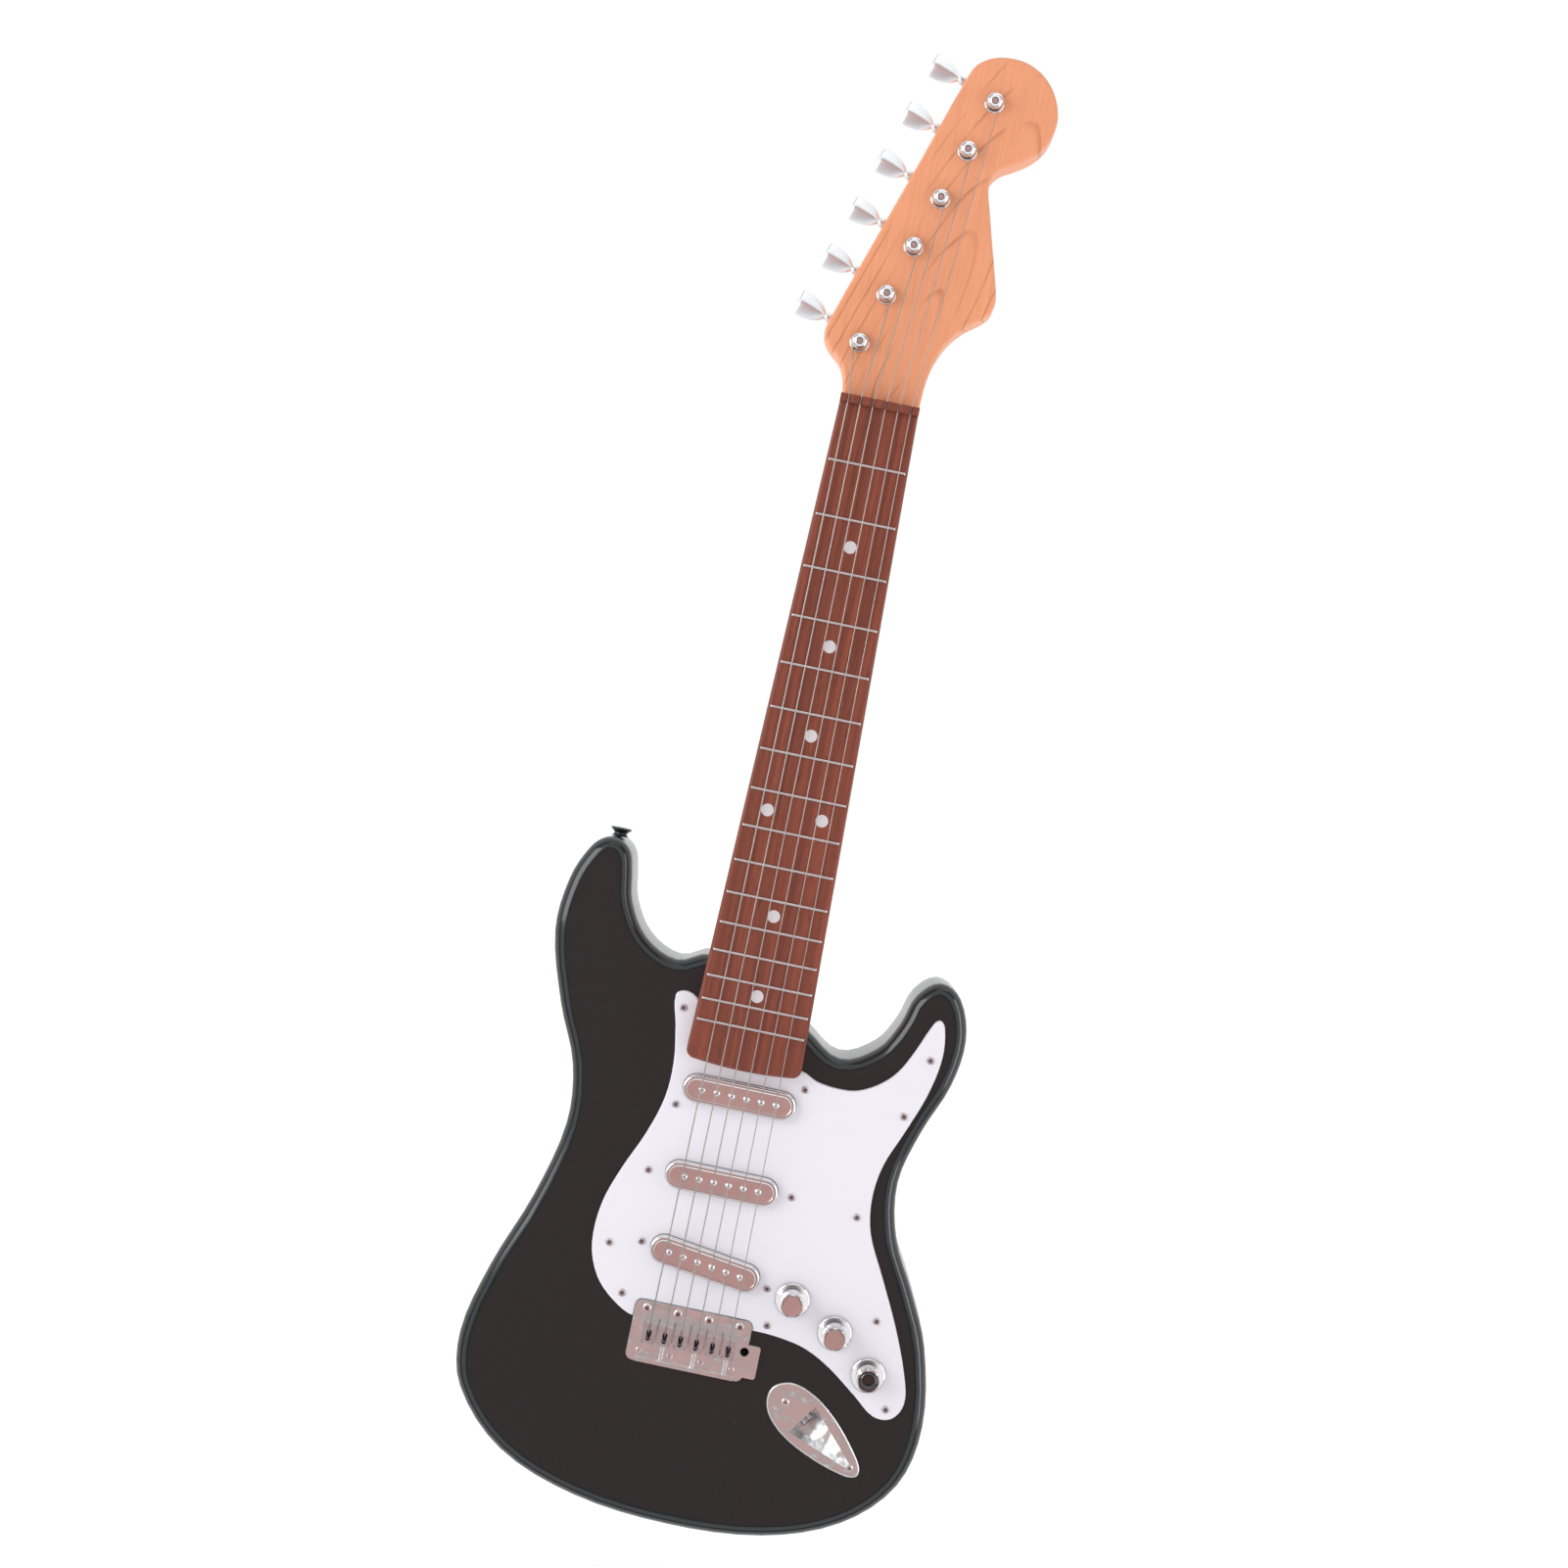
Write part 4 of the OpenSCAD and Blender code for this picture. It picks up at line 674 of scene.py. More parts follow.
def middle(node):
    low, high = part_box(node)
    return (low + high) / 2


def along(node, point, axis):
    """How far a CAD node reaches each way along an axis through a point."""
    reach = [(v.co - point).dot(axis) for v in NODES[node].data.vertices]
    return min(reach), max(reach)


def pole_rows():
    """The six pole screws of each pickup, in order along its length."""
    rows = {}
    for pickup in ("neck_pickup", "middle_pickup", "bridge_pickup"):
        low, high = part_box(pickup)
        rows[pickup] = [centre for centre, *_ in islands("pole_screws")
                        if low.x < centre.x < high.x and low.z < centre.z < high.z]
    return rows


def crosses(name, node, widest=0.0):
    """Dark crosses low in the recesses of a set of screws that face the front: painted shade standing in for the
    shade that falls in the cross recesses.
    """
    heads = islands(node)
    if widest:
        heads = [head for head in heads if head[2].x - head[1].x > widest]
    low, high = heads[0][1:]
    radius = (high.x - low.x) / 2
    arm, half = radius * 0.5, radius * 0.12
    points = [(arm, -half), (arm, half), (half, half), (half, arm), (-half, arm), (-half, half),
              (-arm, half), (-arm, -half), (-half, -half), (-half, -arm), (half, -arm), (half, -half)]
    turn = Matrix.Rotation(math.radians(45), 3, "Y")
    unit = loft(name + "_unit", [[turn @ Vector((x, y, z)) for x, z in points] for y in (0.05 * MM, 0)])
    places = [Vector((centre.x, low.y + 0.25 * MM, centre.z)) for centre, low, high in heads]
    # The dark plastic finish on the crosses is painted shade in the screw recesses.
    dark = finish_for("switch_black")
    settle(scatter(name, unit, places, material=dark), node, dark, sharp=None)


# Body

class GUITAR_OT_body(bpy.types.Operator):
    """Front and rear shells with their screws, and the strap buttons with theirs"""
    bl_idname = "guitar.body"
    bl_label = "Body shells"

    def execute(self, context):
        rounding = sizes().seam_round
        polished("body_front_shell", "front_shell", rounding, limit=40)
        polished("body_rear_shell", "rear_shell", rounding, limit=40)
        polished("shell_screw_set", "shell_screws", 0.15 * MM)
        polished("strap_button_pair", "strap_buttons", 0.3 * MM, segments=3)
        polished("strap_screw_pair", "strap_screws", 0.12 * MM)
        return {"FINISHED"}


class GUITAR_OT_guard(bpy.types.Operator):
    """White scratch plate with an eased rim and its cross-head screws"""
    bl_idname = "guitar.guard"
    bl_label = "Scratch plate"

    def execute(self, context):
        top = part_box("pickguard")[0].y
        polished("scratch_plate", "pickguard", 0.12 * MM, outlines=[(top, 0.7 * MM)])
        polished("scratch_plate_screws", "pickguard_screws", 0.14 * MM, material=screw_plating())
        # Painted shade in the cross recesses of the scratch plate screws.
        crosses("scratch_plate_crosses", "pickguard_screws")
        return {"FINISHED"}


# Pickups

def pickup_cover(node, poles):
    """A plated cover: straight skirt, rolled rim and a flat top sunk a little inside the rim."""
    low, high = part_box(node)
    guard_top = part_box("pickguard")[0].y
    row = poles[-1] - poles[0]
    lean = -math.atan2(row.z, row.x)
    straight_low, straight_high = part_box("neck_pickup")
    length, width = straight_high.x - straight_low.x, straight_high.z - straight_low.z
    centre = (poles[0] + poles[-1]) / 2
    top = low.y
    roll = 1.3 * MM
    rim = [(roll * (1 - math.cos(a)), top + roll * (1 - math.sin(a))) for a in angles(9)]
    profile = [(0, high.y), (0, guard_top - 0.2 * MM), *rim, (roll + 0.45 * MM, top + 0.02 * MM),
               (roll + 0.75 * MM, top + 0.22 * MM), (roll + 1.0 * MM, top + 0.30 * MM),
               (roll + 1.6 * MM, top + 0.30 * MM)]
    rings = [racetrack(centre, length - 2 * d, width - 2 * d, lean, y) for d, y in profile]
    return settle(loft(node + "_cover", rings), node, replaces=[node], sharp=50)


class GUITAR_OT_pickups(bpy.types.Operator):
    """Three plated pickup covers, each with six domed pole screws"""
    bl_idname = "guitar.pickups"
    bl_label = "Pickups"

    def execute(self, context):
        rows = pole_rows()
        for node, poles in rows.items():
            pickup_cover(node, poles)
        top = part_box("neck_pickup")[0].y
        low, high = islands("pole_screws")[0][1:]
        radius = (high.x - low.x) / 2
        rise = top - low.y + 0.35 * MM
        dome = [(radius, rise), (radius, 0.22 * MM)] + [
            (radius * math.cos(a), 0.22 * MM - rise * 0.8 * math.sin(a)) for a in angles(10, 10)]
        unit = turned("pole_unit", ORIGIN, dome, sides=28)
        unit.data.shade_smooth()
        places = [Vector((p.x, top, p.z)) for poles in rows.values() for p in poles]
        piece = scatter("pole_screw_domes", unit, places, material=chrome())
        settle(piece, "pole_screws", replaces=["pole_screws"], sharp=50)
        return {"FINISHED"}


# Bridge

def teardrop(centre, width, length, depth, thickness):
    """A flat teardrop, round at its lower end and narrow at its upper one."""
    outline = []
    for i in range(24):
        angle = 2 * math.pi * i / 24
        taper = 1 - 0.45 * max(0, math.sin(angle))
        outline.append((centre.x + width / 2 * taper * math.cos(angle),
                        centre.z + length / 2 * math.sin(angle)))
    return [[Vector((x, y, z)) for x, z in outline] for y in (depth + thickness, depth)]


class GUITAR_OT_bridge(bpy.types.Operator):
    """Plated bridge plate, six saddles with height screws and painted shade in their slots, and the mounting
    screws
    """
    bl_idname = "guitar.bridge"
    bl_label = "Bridge"

    def execute(self, context):
        saddles = islands("saddles")
        plate_top = max(high.y for *_, high in saddles)
        polished("bridge_base", "bridge_plate", 0.3 * MM, segments=3, material=wavy_chrome())
        polished("bridge_saddles", "saddles", 0.28 * MM, segments=3, material=screw_plating())
        polished("bridge_screw_set", "bridge_screws", 0.14 * MM)
        # Painted shade in the cross recesses of the bridge screws.
        crosses("bridge_crosses", "bridge_screws", 3.5 * MM)
        # A dark teardrop sheet near the floor of each saddle's slot is painted shade of the slot.
        dark = finish_for("switch_black")
        for k, (centre, *_) in enumerate(saddles, 1):
            slot_centre = Vector((centre.x, 0, centre.z - 1.0 * MM))
            shape = teardrop(slot_centre, 2.0 * MM, 5.2 * MM, plate_top - 0.85 * MM, 0.3 * MM)
            drop = loft(f"saddle_slot_{k}", shape)
            settle(drop, "saddles", dark)
        unit = turned("height_screw_unit", ORIGIN,
                      [(0.62 * MM, 1.2 * MM), (0.62 * MM, 0.12 * MM), (0.5 * MM, 0), (0.3 * MM, 0),
                       (0.3 * MM, 0.35 * MM)],
                      sides=20)
        places = [Vector((centre.x + side * 2.2 * MM, plate_top - 4.25 * MM, low.z + 1.2 * MM))
                  for centre, low, _ in saddles for side in (-1, 1)]
        steel = finish_for("screw_steel")
        screws = scatter("saddle_height_screws", unit, places, material=steel)
        settle(screws, "saddles", material=steel)
        return {"FINISHED"}


# Controls

def knob_places():
    return {name: Vector(JOINTS[name + "_turn"]["pos_m"]) for name in ("volume", "tone", "sound")}


def knob_cap(name, centre, open_top):
    """A knob: dished skirt, plain core behind the ribs, and a flat or hollow top with an eased rim."""
    node = name + "_knob"
    low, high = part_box(node)
    skirt = (high.x - low.x) / 2
    base, top = high.y, low.y
    core = skirt * 0.655
    foot = base - 2.6 * MM
    dish = [(skirt, base), (skirt, base - 0.5 * MM), (skirt - 0.25 * MM, base - 0.78 * MM),
            (skirt - 0.5 * MM, base - 0.86 * MM), (skirt - 1.2 * MM, base - 1.22 * MM),
            (core + 0.35 * MM, base - 1.65 * MM), (core + 0.12 * MM, base - 2.1 * MM),
            (core + 0.05 * MM, foot)]
    shaft_low, shaft_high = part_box(name + "_shaft")
    bore = (shaft_high.x - shaft_low.x) / 2
    if open_top:
        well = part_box("push_button")[1].x - centre.x + 0.1 * MM
        profile = [(bore, base), *dish, (core, top + 0.25 * MM), (core - 0.25 * MM, top),
                   (well + 0.18 * MM, top), (well, top + 0.2 * MM), (well, shaft_low.y), (bore, shaft_low.y)]
    else:
        profile = [(0, shaft_low.y), (bore, shaft_low.y), (bore, base), *dish, (core, top + 0.35 * MM),
                   (core - 0.3 * MM, top + 0.04 * MM), (core - 0.55 * MM, top),
                   (core - 0.9 * MM, top + 0.1 * MM),
                   (core - 1.2 * MM, top + 0.14 * MM)]
    cap = turned(node + "_cap", centre, profile, closed=open_top)
    settle(cap, node, replaces=[node], sharp=32)
    return node, core, foot, top


def knob_ribs(name, centre, core, foot, top):
    """Fine upright ribs round a knob."""
    count, width = sizes().knob_ribs, sizes().rib_width
    half = width / 2
    section = [Vector((half * math.cos(2 * math.pi * i / 8), 0, half * math.sin(2 * math.pi * i / 8)))
               for i in range(8)]
    rise = foot - top - 0.55 * MM
    ends = [(0.35, 0), (1, 0.3 * MM), (1, rise - 0.35 * MM), (0.35, rise)]
    rings = [[p * scale + Vector((0, -y, 0)) for p in section] for scale, y in ends]
    unit = loft(name + "_rib_unit", rings)
    unit.data.shade_smooth()
    places, turns = [], []
    for i in range(count):
        angle = 2 * math.pi * i / count
        places.append(Vector((centre.x + core * math.cos(angle), foot, centre.z + core * math.sin(angle))))
        turns.append((0, -angle, 0))
    ribs = scatter(name + "_knob_ribs", unit, places, turns, material=chrome())
    settle(ribs, name + "_knob", sharp=40)


class GUITAR_OT_controls(bpy.types.Operator):
    """Two turning knobs, a third with a push button, and their shafts"""
    bl_idname = "guitar.controls"
    bl_label = "Knobs"

    def execute(self, context):
        for name, centre in knob_places().items():
            node, core, foot, top = knob_cap(name, centre, name == "sound")
            knob_ribs(name, centre, core, foot, top)
        low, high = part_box("push_button")
        radius = (high.x - low.x) / 2
        centre = (low + high) / 2
        dome = 1.6 * MM
        stem = [(radius * 0.28, high.y), (radius * 0.28, low.y + 2.5 * MM), (radius, low.y + 2.5 * MM)]
        curve = [(radius * math.cos(a), low.y + dome * (1 - math.sin(a))) for a in angles(6)]
        button = turned("push_button_dome", centre, stem + curve)
        settle(button, "push_button", replaces=["push_button"], sharp=60)
        return {"FINISHED"}


class GUITAR_OT_jack(bpy.types.Operator):
    """Boat-shaped jack plate with its deep recess, the socket and two screws"""
    bl_idname = "guitar.jack"
    bl_label = "Jack plate"

    def execute(self, context):
        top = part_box("jack_plate")[0].y
        polished("jack_boat_plate", "jack_plate", 0.22 * MM, outlines=[(top, 0.9 * MM)], segments=3,
                 material=wavy_chrome())
        polished("jack_barrel", "jack_socket", 0.25 * MM, segments=3)
        polished("jack_screw_pair", "jack_screws", 0.14 * MM)
        # Painted shade in the cross recesses of the jack screws.
        crosses("jack_crosses", "jack_screws")
        return {"FINISHED"}


# Neck

def board_shape(inset, depth):
    """The fretboard's outline in the plane Y = depth: straight taper, round corners and a bowed body end."""
    low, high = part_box("fretboard")
    nut_low, nut_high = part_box("nut")
    end_half, nut_half = high.x - inset, (nut_high.x - nut_low.x) / 2 - inset
    bow, corner = 1.3 * MM, 4.0 * MM - inset
    start, end = high.z, low.z + inset + bow
    points = [(-nut_half, start), (nut_half, start)]
    points += [(end_half - corner + corner * math.cos(a), end + corner - corner * math.sin(a))
               for a in angles(9)]
    inner = end_half - corner
    points += [(inner * (1 - k / 12), end - bow * (1 - (1 - k / 12) ** 2)) for k in range(1, 24)]
    points += [(-end_half + corner - corner * math.cos(a), end + corner - corner * math.sin(a))
               for a in reversed(angles(9))]
    return [Vector((x, depth, z)) for x, z in points]


class GUITAR_OT_neck(bpy.types.Operator):
    """Fretboard, frets, markers, nut and the rounded neck behind them"""
    bl_idname = "guitar.neck"
    bl_label = "Neck"

    def execute(self, context):
        low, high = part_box("fretboard")
        top, back = low.y, high.y
        radius = 1.5 * MM
        edge = [(radius * (1 - math.cos(a)), top + radius * (1 - math.sin(a)))
                for a in angles(15)]
        profile = [(0.3 * MM, back), (0, back - 0.3 * MM), *edge, (radius + 0.6 * MM, top)]
        board = loft("fretboard_slab", [board_shape(inset, y) for inset, y in profile])
        settle(board, "fretboard", replaces=["fretboard"], sharp=40)
        self.frets(top)
        self.markers(top)
        polished("nut_bar", "nut", 0.2 * MM, segments=3)
        polished("neck_and_headstock_back", "neck_back", 0.2 * MM, limit=50)
        return {"FINISHED"}

    def frets(self, top):
        """Crowned wires, each scaled to the board's width where it lies."""
        rods = islands("frets")
        height = top - rods[0][1].y
        half = (rods[0][2].z - rods[0][1].z) / 2
        steps = 14
        section = [Vector((0, -height * math.sin(math.pi * i / steps), half * math.cos(math.pi * i / steps)))
                   for i in range(steps + 1)]
        section += [Vector((0, 0.1 * MM, -half)), Vector((0, 0.1 * MM, half))]
        ends = [(-0.5, 0.25), (-0.494, 0.72), (-0.485, 1), (0.485, 1), (0.494, 0.72), (0.5, 0.25)]
        unit = loft("fret_unit", [[Vector((x, p.y * size, p.z)) for p in section] for x, size in ends])
        unit.data.shade_smooth()
        places = [Vector((centre.x, top, centre.z)) for centre, _, _ in rods]
        scales = [(high.x - low.x, 1, 1) for _, low, high in rods]
        piece = scatter("fret_wires", unit, places, scales=scales, material=finish_for("fret_metal"))
        settle(piece, "frets", replaces=["frets"], sharp=50)

    def markers(self, top):
        spots = islands("fret_markers")
        radius = (spots[0][2].x - spots[0][1].x) / 2
        proud = sizes().marker_proud
        unit = turned("marker_unit", ORIGIN,
                      [(radius, 0.4 * MM), (radius, 0), (radius - 0.12 * MM, -proud)], sides=40)
        places = [Vector((centre.x, top, centre.z)) for centre, _, _ in spots]
        piece = scatter("marker_dots", unit, places, material=pearl_plastic())
        settle(piece, "fret_markers", replaces=["fret_markers"], sharp=40)


class GUITAR_OT_headstock(bpy.types.Operator):
    """Headstock cover with a rounded front edge, its moulded ring and the screws behind"""
    bl_idname = "guitar.headstock"
    bl_label = "Headstock"

    def execute(self, context):
        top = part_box("headstock_cover")[0].y
        polished("headstock_front", "headstock_cover", 0.15 * MM, outlines=[(top, sizes().head_round)],
                 limit=50)
        polished("headstock_screw_set", "headstock_screws", 0.12 * MM)
        centre = Vector((12.6 * MM, top, 60.0 * MM))
        ring = [(1.35 * MM, top + 0.1 * MM), (1.3 * MM, top - 0.10 * MM), (1.12 * MM, top - 0.16 * MM),
                (0.95 * MM, top - 0.10 * MM), (0.88 * MM, top + 0.02 * MM)]
        moulded_ring = turned("headstock_moulded_ring", centre, ring, sides=36)
        settle(moulded_ring, "headstock_cover", sharp=60)
        return {"FINISHED"}


# Tuners and strings

def row_direction():
    first, last = middle("tuner_post_1"), middle("tuner_post_6")
    return Vector((last.x - first.x, 0, last.z - first.z)).normalized()


def tuner_button(k):
    """A tulip-shaped button on its collar, lofted along the worm's axis."""
    node = f"tuner_button_{k}"
    joint = JOINTS[f"tuner_turn_{k}"]
    start, axis = Vector(joint["pos_m"]), Vector(joint["axis"]).normalized()
    across = row_direction()
    reach = along(node, start, axis)
    half_width = along(node, start, across)[1]
    half_depth = along(node, start, Vector((0, 1, 0)))[1]
    tip = reach[1]
    shape = [(-2.6, 0.36, 0.86), (-2.0, 0.40, 0.98), (-0.9, 0.40, 0.98), (-0.2, 0.30, 0.72),
             (0.2, 0.24, 0.60),
             (1.0, 0.38, 0.66), (2.6, 0.60, 0.80), (5.2, 0.83, 0.94), (8.5, 0.96, 1.0), (10.5, 0.99, 1.0),
             (12.0, 1.0, 0.97), (13.0, 0.97, 0.88), (13.6, 0.92, 0.70), (13.9, 0.82, 0.45),
             (14.0, 0.66, 0.2)]
    rings = []
    for place, wide, deep in shape:
        origin = start + axis * (tip - BUTTON_LENGTH + place * MM)
        ring = []
        for i in range(32):
            angle = 2 * math.pi * i / 32
            u = math.cos(angle)
            v = math.sin(angle)
            if place > 0:
                v = math.copysign((1 - abs(u) ** 1.2) ** 0.9, v)
            ring.append(origin + across * (u * wide * half_width) + Vector((0, v * deep * half_depth, 0)))
        rings.append(ring)
    radius = WORM_ROD_RADIUS
    rod = [[start + axis * d + across * (radius * math.cos(2 * math.pi * i / 32))
            + Vector((0, radius * math.sin(2 * math.pi * i / 32), 0)) for i in range(32)]
           for d in (reach[0], tip - BUTTON_LENGTH - 2.6 * MM)]
    button = loft(f"tuner_key_{k}", rod + rings)
    return settle(button, node, chrome("button_chrome", (0.96, 0.99, 1.0), 0.28), [node], 40)


def string_route(k, saddles, posts, turn_side):
    """The points of one string: over its saddle, through the nut and on to its post."""
    centre, low, high = saddles[k - 1]
    post = posts[k - 1]
    nut_low, nut_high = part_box("nut")
    radius = sizes_of_string(k)
    spread = (k - MIDDLE_STRING) * NUT_STRING_GAP
    nut_y = nut_low.y + 0.55 * MM
    foot_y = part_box("bridge_plate")[0].y
    head_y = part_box("headstock_cover")[0].y
    touch = turn_side * (SPOOL_RADIUS + radius + 0.1 * MM)
    post_y = head_y - 2.05 * MM
    slope = Vector((post.x + touch - spread, 0, post.z - nut_high.z)).normalized()
    crown = [Vector((centre.x, low.y + 0.72 * MM - radius, high.z - 1.4 * MM)),
             Vector((centre.x, low.y + 0.70 * MM - radius, high.z - 0.4 * MM))]
    rise = [Vector((centre.x, foot_y - 0.6 * MM, low.z + 3.0 * MM)),
            Vector((centre.x, low.y + 2.4 * MM, high.z - 4.4 * MM)),
            Vector((centre.x, low.y + 0.6 * MM, high.z - 3.2 * MM)),
            Vector((centre.x, low.y + 0.3 * MM, high.z - 2.5 * MM))]
    nut = [Vector((spread, nut_y, nut_low.z + 0.3 * MM)), Vector((spread, nut_y, nut_high.z - 0.6 * MM)),
           Vector((spread, nut_y + 0.12 * MM, nut_high.z + 0.3 * MM))]
    end = Vector((post.x + touch, post_y, post.z))
    return rise + crown + nut + [end - slope * 4 * MM, end]


def sizes_of_string(k):
    """Wire radius, from the thick low string to the thin high one."""
    return (0.30 - 0.022 * (k - 1)) * MM


class GUITAR_OT_tuners(bpy.types.Operator):
    """Domed posts in plated rings, with a button on the end of each worm"""
    bl_idname = "guitar.tuners"
    bl_label = "Tuners"

    def execute(self, context):
        polished("tuner_rings", "tuner_bushings", 0.2 * MM, segments=3)
        for k in STRINGS:
            tuner_button(k)
            self.post(k)
        return {"FINISHED"}

    def post(self, k):
        """A round-headed post with a waisted spool, turned in one piece with its wheel."""
        node = f"tuner_post_{k}"
        low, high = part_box(node)
        axis = Vector(JOINTS[f"post_turn_{k}"]["pos_m"])
        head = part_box("headstock_cover")[0].y
        ball = POST_BALL_RADIUS
        profile = [(1.4 * MM, high.y), (1.4 * MM, head + 7.5 * MM), (2.6 * MM, head + 7.5 * MM),
                   (2.6 * MM, head + 4.5 * MM), (2.7 * MM, head + 4.4 * MM), (2.7 * MM, head - 0.85 * MM),
                   (2.45 * MM, head - 1.1 * MM), (2.1 * MM, head - 1.3 * MM), (2.05 * MM, head - 2.0 * MM),
                   (2.1 * MM, head - 2.75 * MM), (3.3 * MM, head - 2.92 * MM),
                   (ball - 0.1 * MM, head - 3.0 * MM)]
        shoulder = head - 3.2 * MM
        rise = shoulder - low.y
        profile += [(ball * math.cos(a), shoulder - rise * math.sin(a)) for a in angles(6)]
        post = turned(f"string_post_head_{k}", axis, profile, sides=64)
        return settle(post, node, replaces=[node], sharp=50)


class GUITAR_OT_strings(bpy.types.Operator):
    """Six taut strings, each wound round its post"""
    bl_idname = "guitar.strings"
    bl_label = "Strings"

    def execute(self, context):
        saddles = islands("saddles")
        posts = [Vector(JOINTS[f"post_turn_{k}"]["pos_m"]) for k in STRINGS]
        wire = wound_steel()
        turns = sizes().winding_turns
        for k in STRINGS:
            side = -1 if k == 1 else 1
            radius = sizes_of_string(k)
            string = swept(f"string_{k}", string_route(k, saddles, posts, side), radius, wire)
            settle(string, "strings", replaces=["strings"] if k == 1 else (), sharp=50)
            post = posts[k - 1]
            start_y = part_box("headstock_cover")[0].y - 2.7 * MM
            reach = SPOOL_RADIUS + radius
            count = 28
            coil = [Vector((post.x + side * reach * math.cos(a), start_y + 2.15 * radius * a / (2 * math.pi),
                            post.z + reach * math.sin(a)))
                    for a in [2 * math.pi * i / count for i in range(count * turns + 1)]]
            winding = swept(f"string_winding_{k}", coil, radius * 0.98, wire, sides=8)
            settle(winding, f"tuner_post_{k}", material=wire, sharp=50)
        return {"FINISHED"}


# Back and inside

class GUITAR_OT_back(bpy.types.Operator):
    """Neck plate, battery cover and power switch on the back"""
    bl_idname = "guitar.back"
    bl_label = "Back"

    def execute(self, context):
        polished("neck_joint_plate", "neck_plate", 0.3 * MM, segments=3)
        polished("neck_screw_set", "neck_screws", 0.2 * MM)
        polished("battery_cover_plate", "battery_door", 0.2 * MM)
        polished("battery_cover_screw", "battery_door_screw", 0.1 * MM)
        polished("power_switch_slider", "power_switch_cap", 0.12 * MM)
        return {"FINISHED"}


class GUITAR_OT_inside(bpy.types.Operator):
    """Finishes for the pieces that keep the frame's own shapes, most of them inside"""
    bl_idname = "guitar.inside"
    bl_label = "Inside"

    def execute(self, context):
        for node, piece in NODES.items():
            if piece.hide_render:
                continue
            piece.data.materials.clear()
            piece.data.materials.append(finish_for(SLOT_OF[node]))
        return {"FINISHED"}


# Stage

def plain_floor():
    def build(t):
        speckle = t.noise(t.coordinates(), 30, 3)
        return {"Base Color": t.mix(speckle, (0.93, 0.93, 0.93), (0.96, 0.96, 0.96)),
                "Roughness": 0.55 + speckle * 0.1}
    return surface("stage_floor", build, **{"Emission Color": (1, 1, 1), "Emission Strength": 0.35})


def surroundings():
    """White surroundings with a warm dim area facing the front, and dark bands round it."""
    world = bpy.data.worlds.new("studio")
    world.use_nodes = True
    t = Tree(world.node_tree)
    direction = t.node("ShaderNodeTexCoord", out="Generated")
    facing = t.node("ShaderNodeVectorMath", {"operation": "DOT_PRODUCT"},
                    {0: direction, 1: FRONT}, out="Value")
    angle = facing.math("ARCCOSINE") / math.pi
    bands = t.node("ShaderNodeValToRGB", {"stops": [
        (0.00, (0.56, 0.33, 0.31)), (0.135, (0.54, 0.32, 0.30)), (0.16, (0.10, 0.08, 0.08)),
        (0.19, (0.26, 0.25, 0.26)), (0.225, (1.0, 1.0, 1.02)), (0.36, (1.0, 1.0, 1.02)),
        (0.39, (0.16, 0.16, 0.17)), (0.44, (0.22, 0.22, 0.23)), (0.48, (0.95, 0.95, 0.96)),
        (1.00, (1.0, 1.0, 1.0))]}, {"Fac": angle})
    seen = t.node("ShaderNodeLightPath", out="Is Camera Ray")
    tone = t.mix(seen, bands, (1, 1, 1))
    back = t.node("ShaderNodeBackground", None, {"Color": tone, "Strength": 1.0})
    t.node("ShaderNodeOutputWorld", None, {"Surface": back})
    bpy.context.scene.world = world


def soft_light(name, place, target, width, height, power):
    lamp = bpy.data.lights.new(name, "AREA")
    lamp.shape = "RECTANGLE"
    lamp.size, lamp.size_y, lamp.energy = width, height, power
    made = new_object(name, lamp)
    made.location = place
    made.rotation_mode = "QUATERNION"
    made.rotation_quaternion = (Vector(target) - Vector(place)).to_track_quat("-Z", "Y")


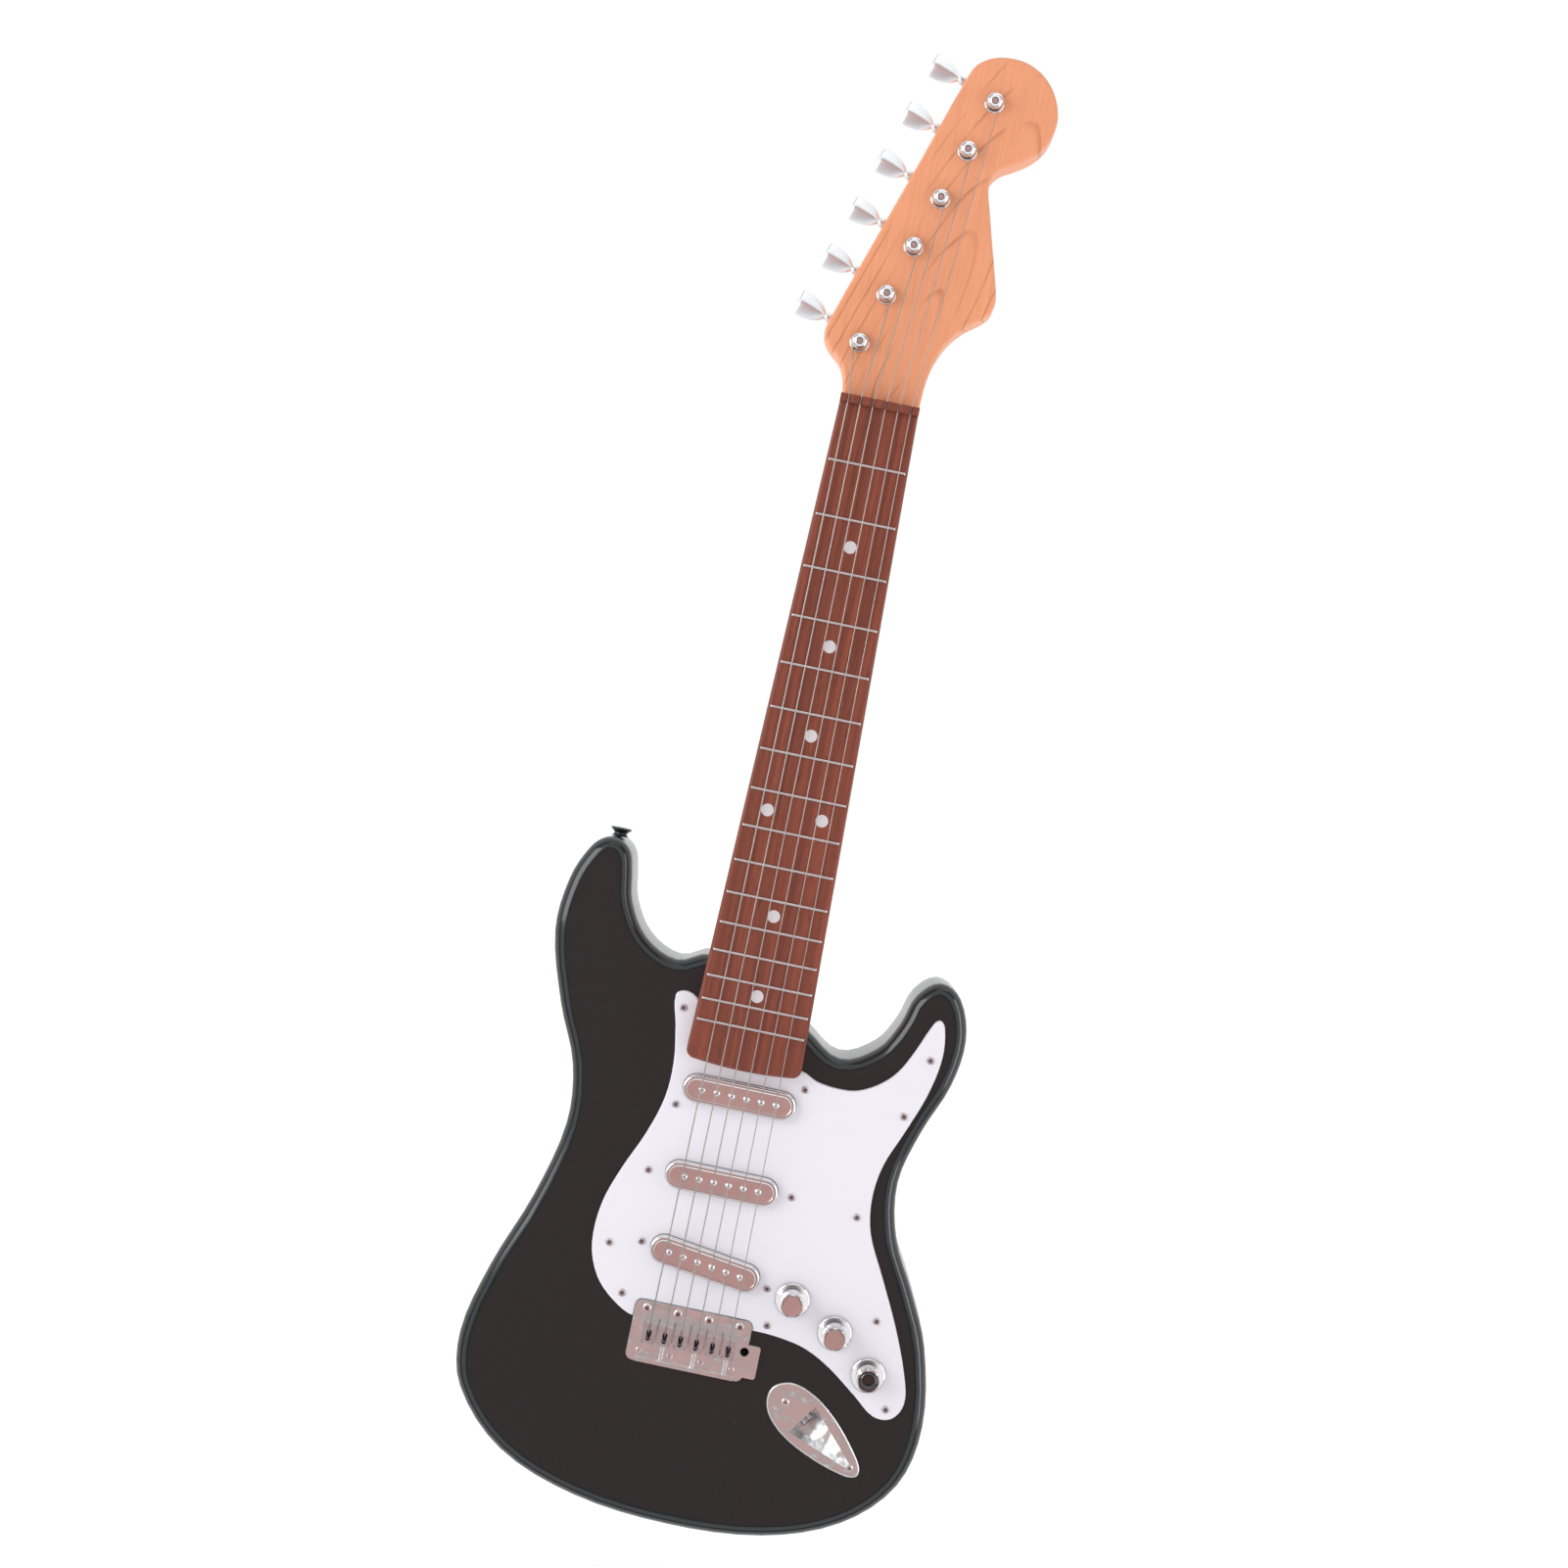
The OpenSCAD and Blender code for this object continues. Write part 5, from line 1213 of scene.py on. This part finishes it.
class GUITAR_OT_stage(bpy.types.Operator):
    """Camera, soft lights, white surroundings and a plain floor"""
    bl_idname = "guitar.stage"
    bl_label = "Stage"

    def execute(self, context):
        settings = context.scene.guitar_stage
        low, high = [Vector(corner) for corner in CAD_BOX]
        self.camera(settings)
        floor_z = low.z - settings.floor_gap
        bm = bmesh.new()
        bmesh.ops.create_grid(bm, x_segments=8, y_segments=8, size=6)
        bmesh.ops.translate(bm, verts=bm.verts, vec=(0, 0, floor_z))
        floor = new_object("stage_floor", mesh_from(bm, "stage_floor"))
        floor.data.materials.append(plain_floor())
        floor.visible_glossy = False
        surroundings()
        centre = (low + high) / 2
        power = settings.key_power
        soft_light("key_light", centre + Vector((-1.1, -0.75, 0.2)), centre, 0.9, 0.9, power)
        soft_light("side_strip", centre + Vector((1.15, -0.35, 0.05)), centre, 0.25, 1.3, power * 0.5)
        soft_light("top_strip", centre + Vector((0.1, -0.3, 1.25)), centre, 1.2, 0.3, power * 0.12)
        context.scene.view_settings.view_transform = "Standard"
        return {"FINISHED"}

    def camera(self, settings):
        """The camera faces the body's face; its roll leans the neck."""
        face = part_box("front_shell")[0].y
        place = Vector((0.0041, face - settings.distance, -0.164))
        target = Vector((-0.0074, face, -0.167))
        camera = bpy.data.cameras.new("camera")
        camera.lens = settings.lens
        made = new_object("camera", camera)
        forward = (target - place).normalized()
        up = Vector((-math.sin(settings.lean), 0, math.cos(settings.lean)))
        right = forward.cross(up).normalized()
        up = right.cross(forward)
        turn = Matrix((right, up, -forward)).transposed()
        made.matrix_world = Matrix.Translation(place) @ turn.to_4x4()
        bpy.context.scene.camera = made


class GUITAR_PT_panel(bpy.types.Panel):
    """Lists the pieces in the order that they are built"""
    bl_idname = "GUITAR_PT_panel"
    bl_label = "Toy electric guitar"
    bl_space_type = "VIEW_3D"
    bl_region_type = "UI"
    bl_category = "Guitar"

    def draw(self, context):
        for group in SETTINGS:
            settings = getattr(context.scene, group)
            for key in settings.bl_rna.properties.keys():
                if key not in ("rna_type", "name"):
                    self.layout.prop(settings, key)
        for step in STEPS:
            self.layout.operator(step.bl_idname)


GROUPS = (GuitarSizes, GuitarColours, StageSettings)
STEPS = (GUITAR_OT_stage, GUITAR_OT_body, GUITAR_OT_guard, GUITAR_OT_pickups, GUITAR_OT_bridge,
         GUITAR_OT_controls, GUITAR_OT_jack, GUITAR_OT_neck, GUITAR_OT_headstock, GUITAR_OT_tuners,
         GUITAR_OT_strings, GUITAR_OT_back, GUITAR_OT_inside)
SETTINGS = {"guitar_sizes": GuitarSizes, "guitar_colours": GuitarColours, "guitar_stage": StageSettings}


def register():
    for group in (*GROUPS, *STEPS, GUITAR_PT_panel):
        bpy.utils.register_class(group)
    for key, group in SETTINGS.items():
        setattr(bpy.types.Scene, key, PointerProperty(type=group))


def unregister():
    for key in SETTINGS:
        delattr(bpy.types.Scene, key)
    for group in reversed((*GROUPS, *STEPS, GUITAR_PT_panel)):
        bpy.utils.unregister_class(group)


def main():
    register()
    for step in STEPS:
        area, name = step.bl_idname.split(".")
        getattr(getattr(bpy.ops, area), name)()


if __name__ == "__main__":
    main()
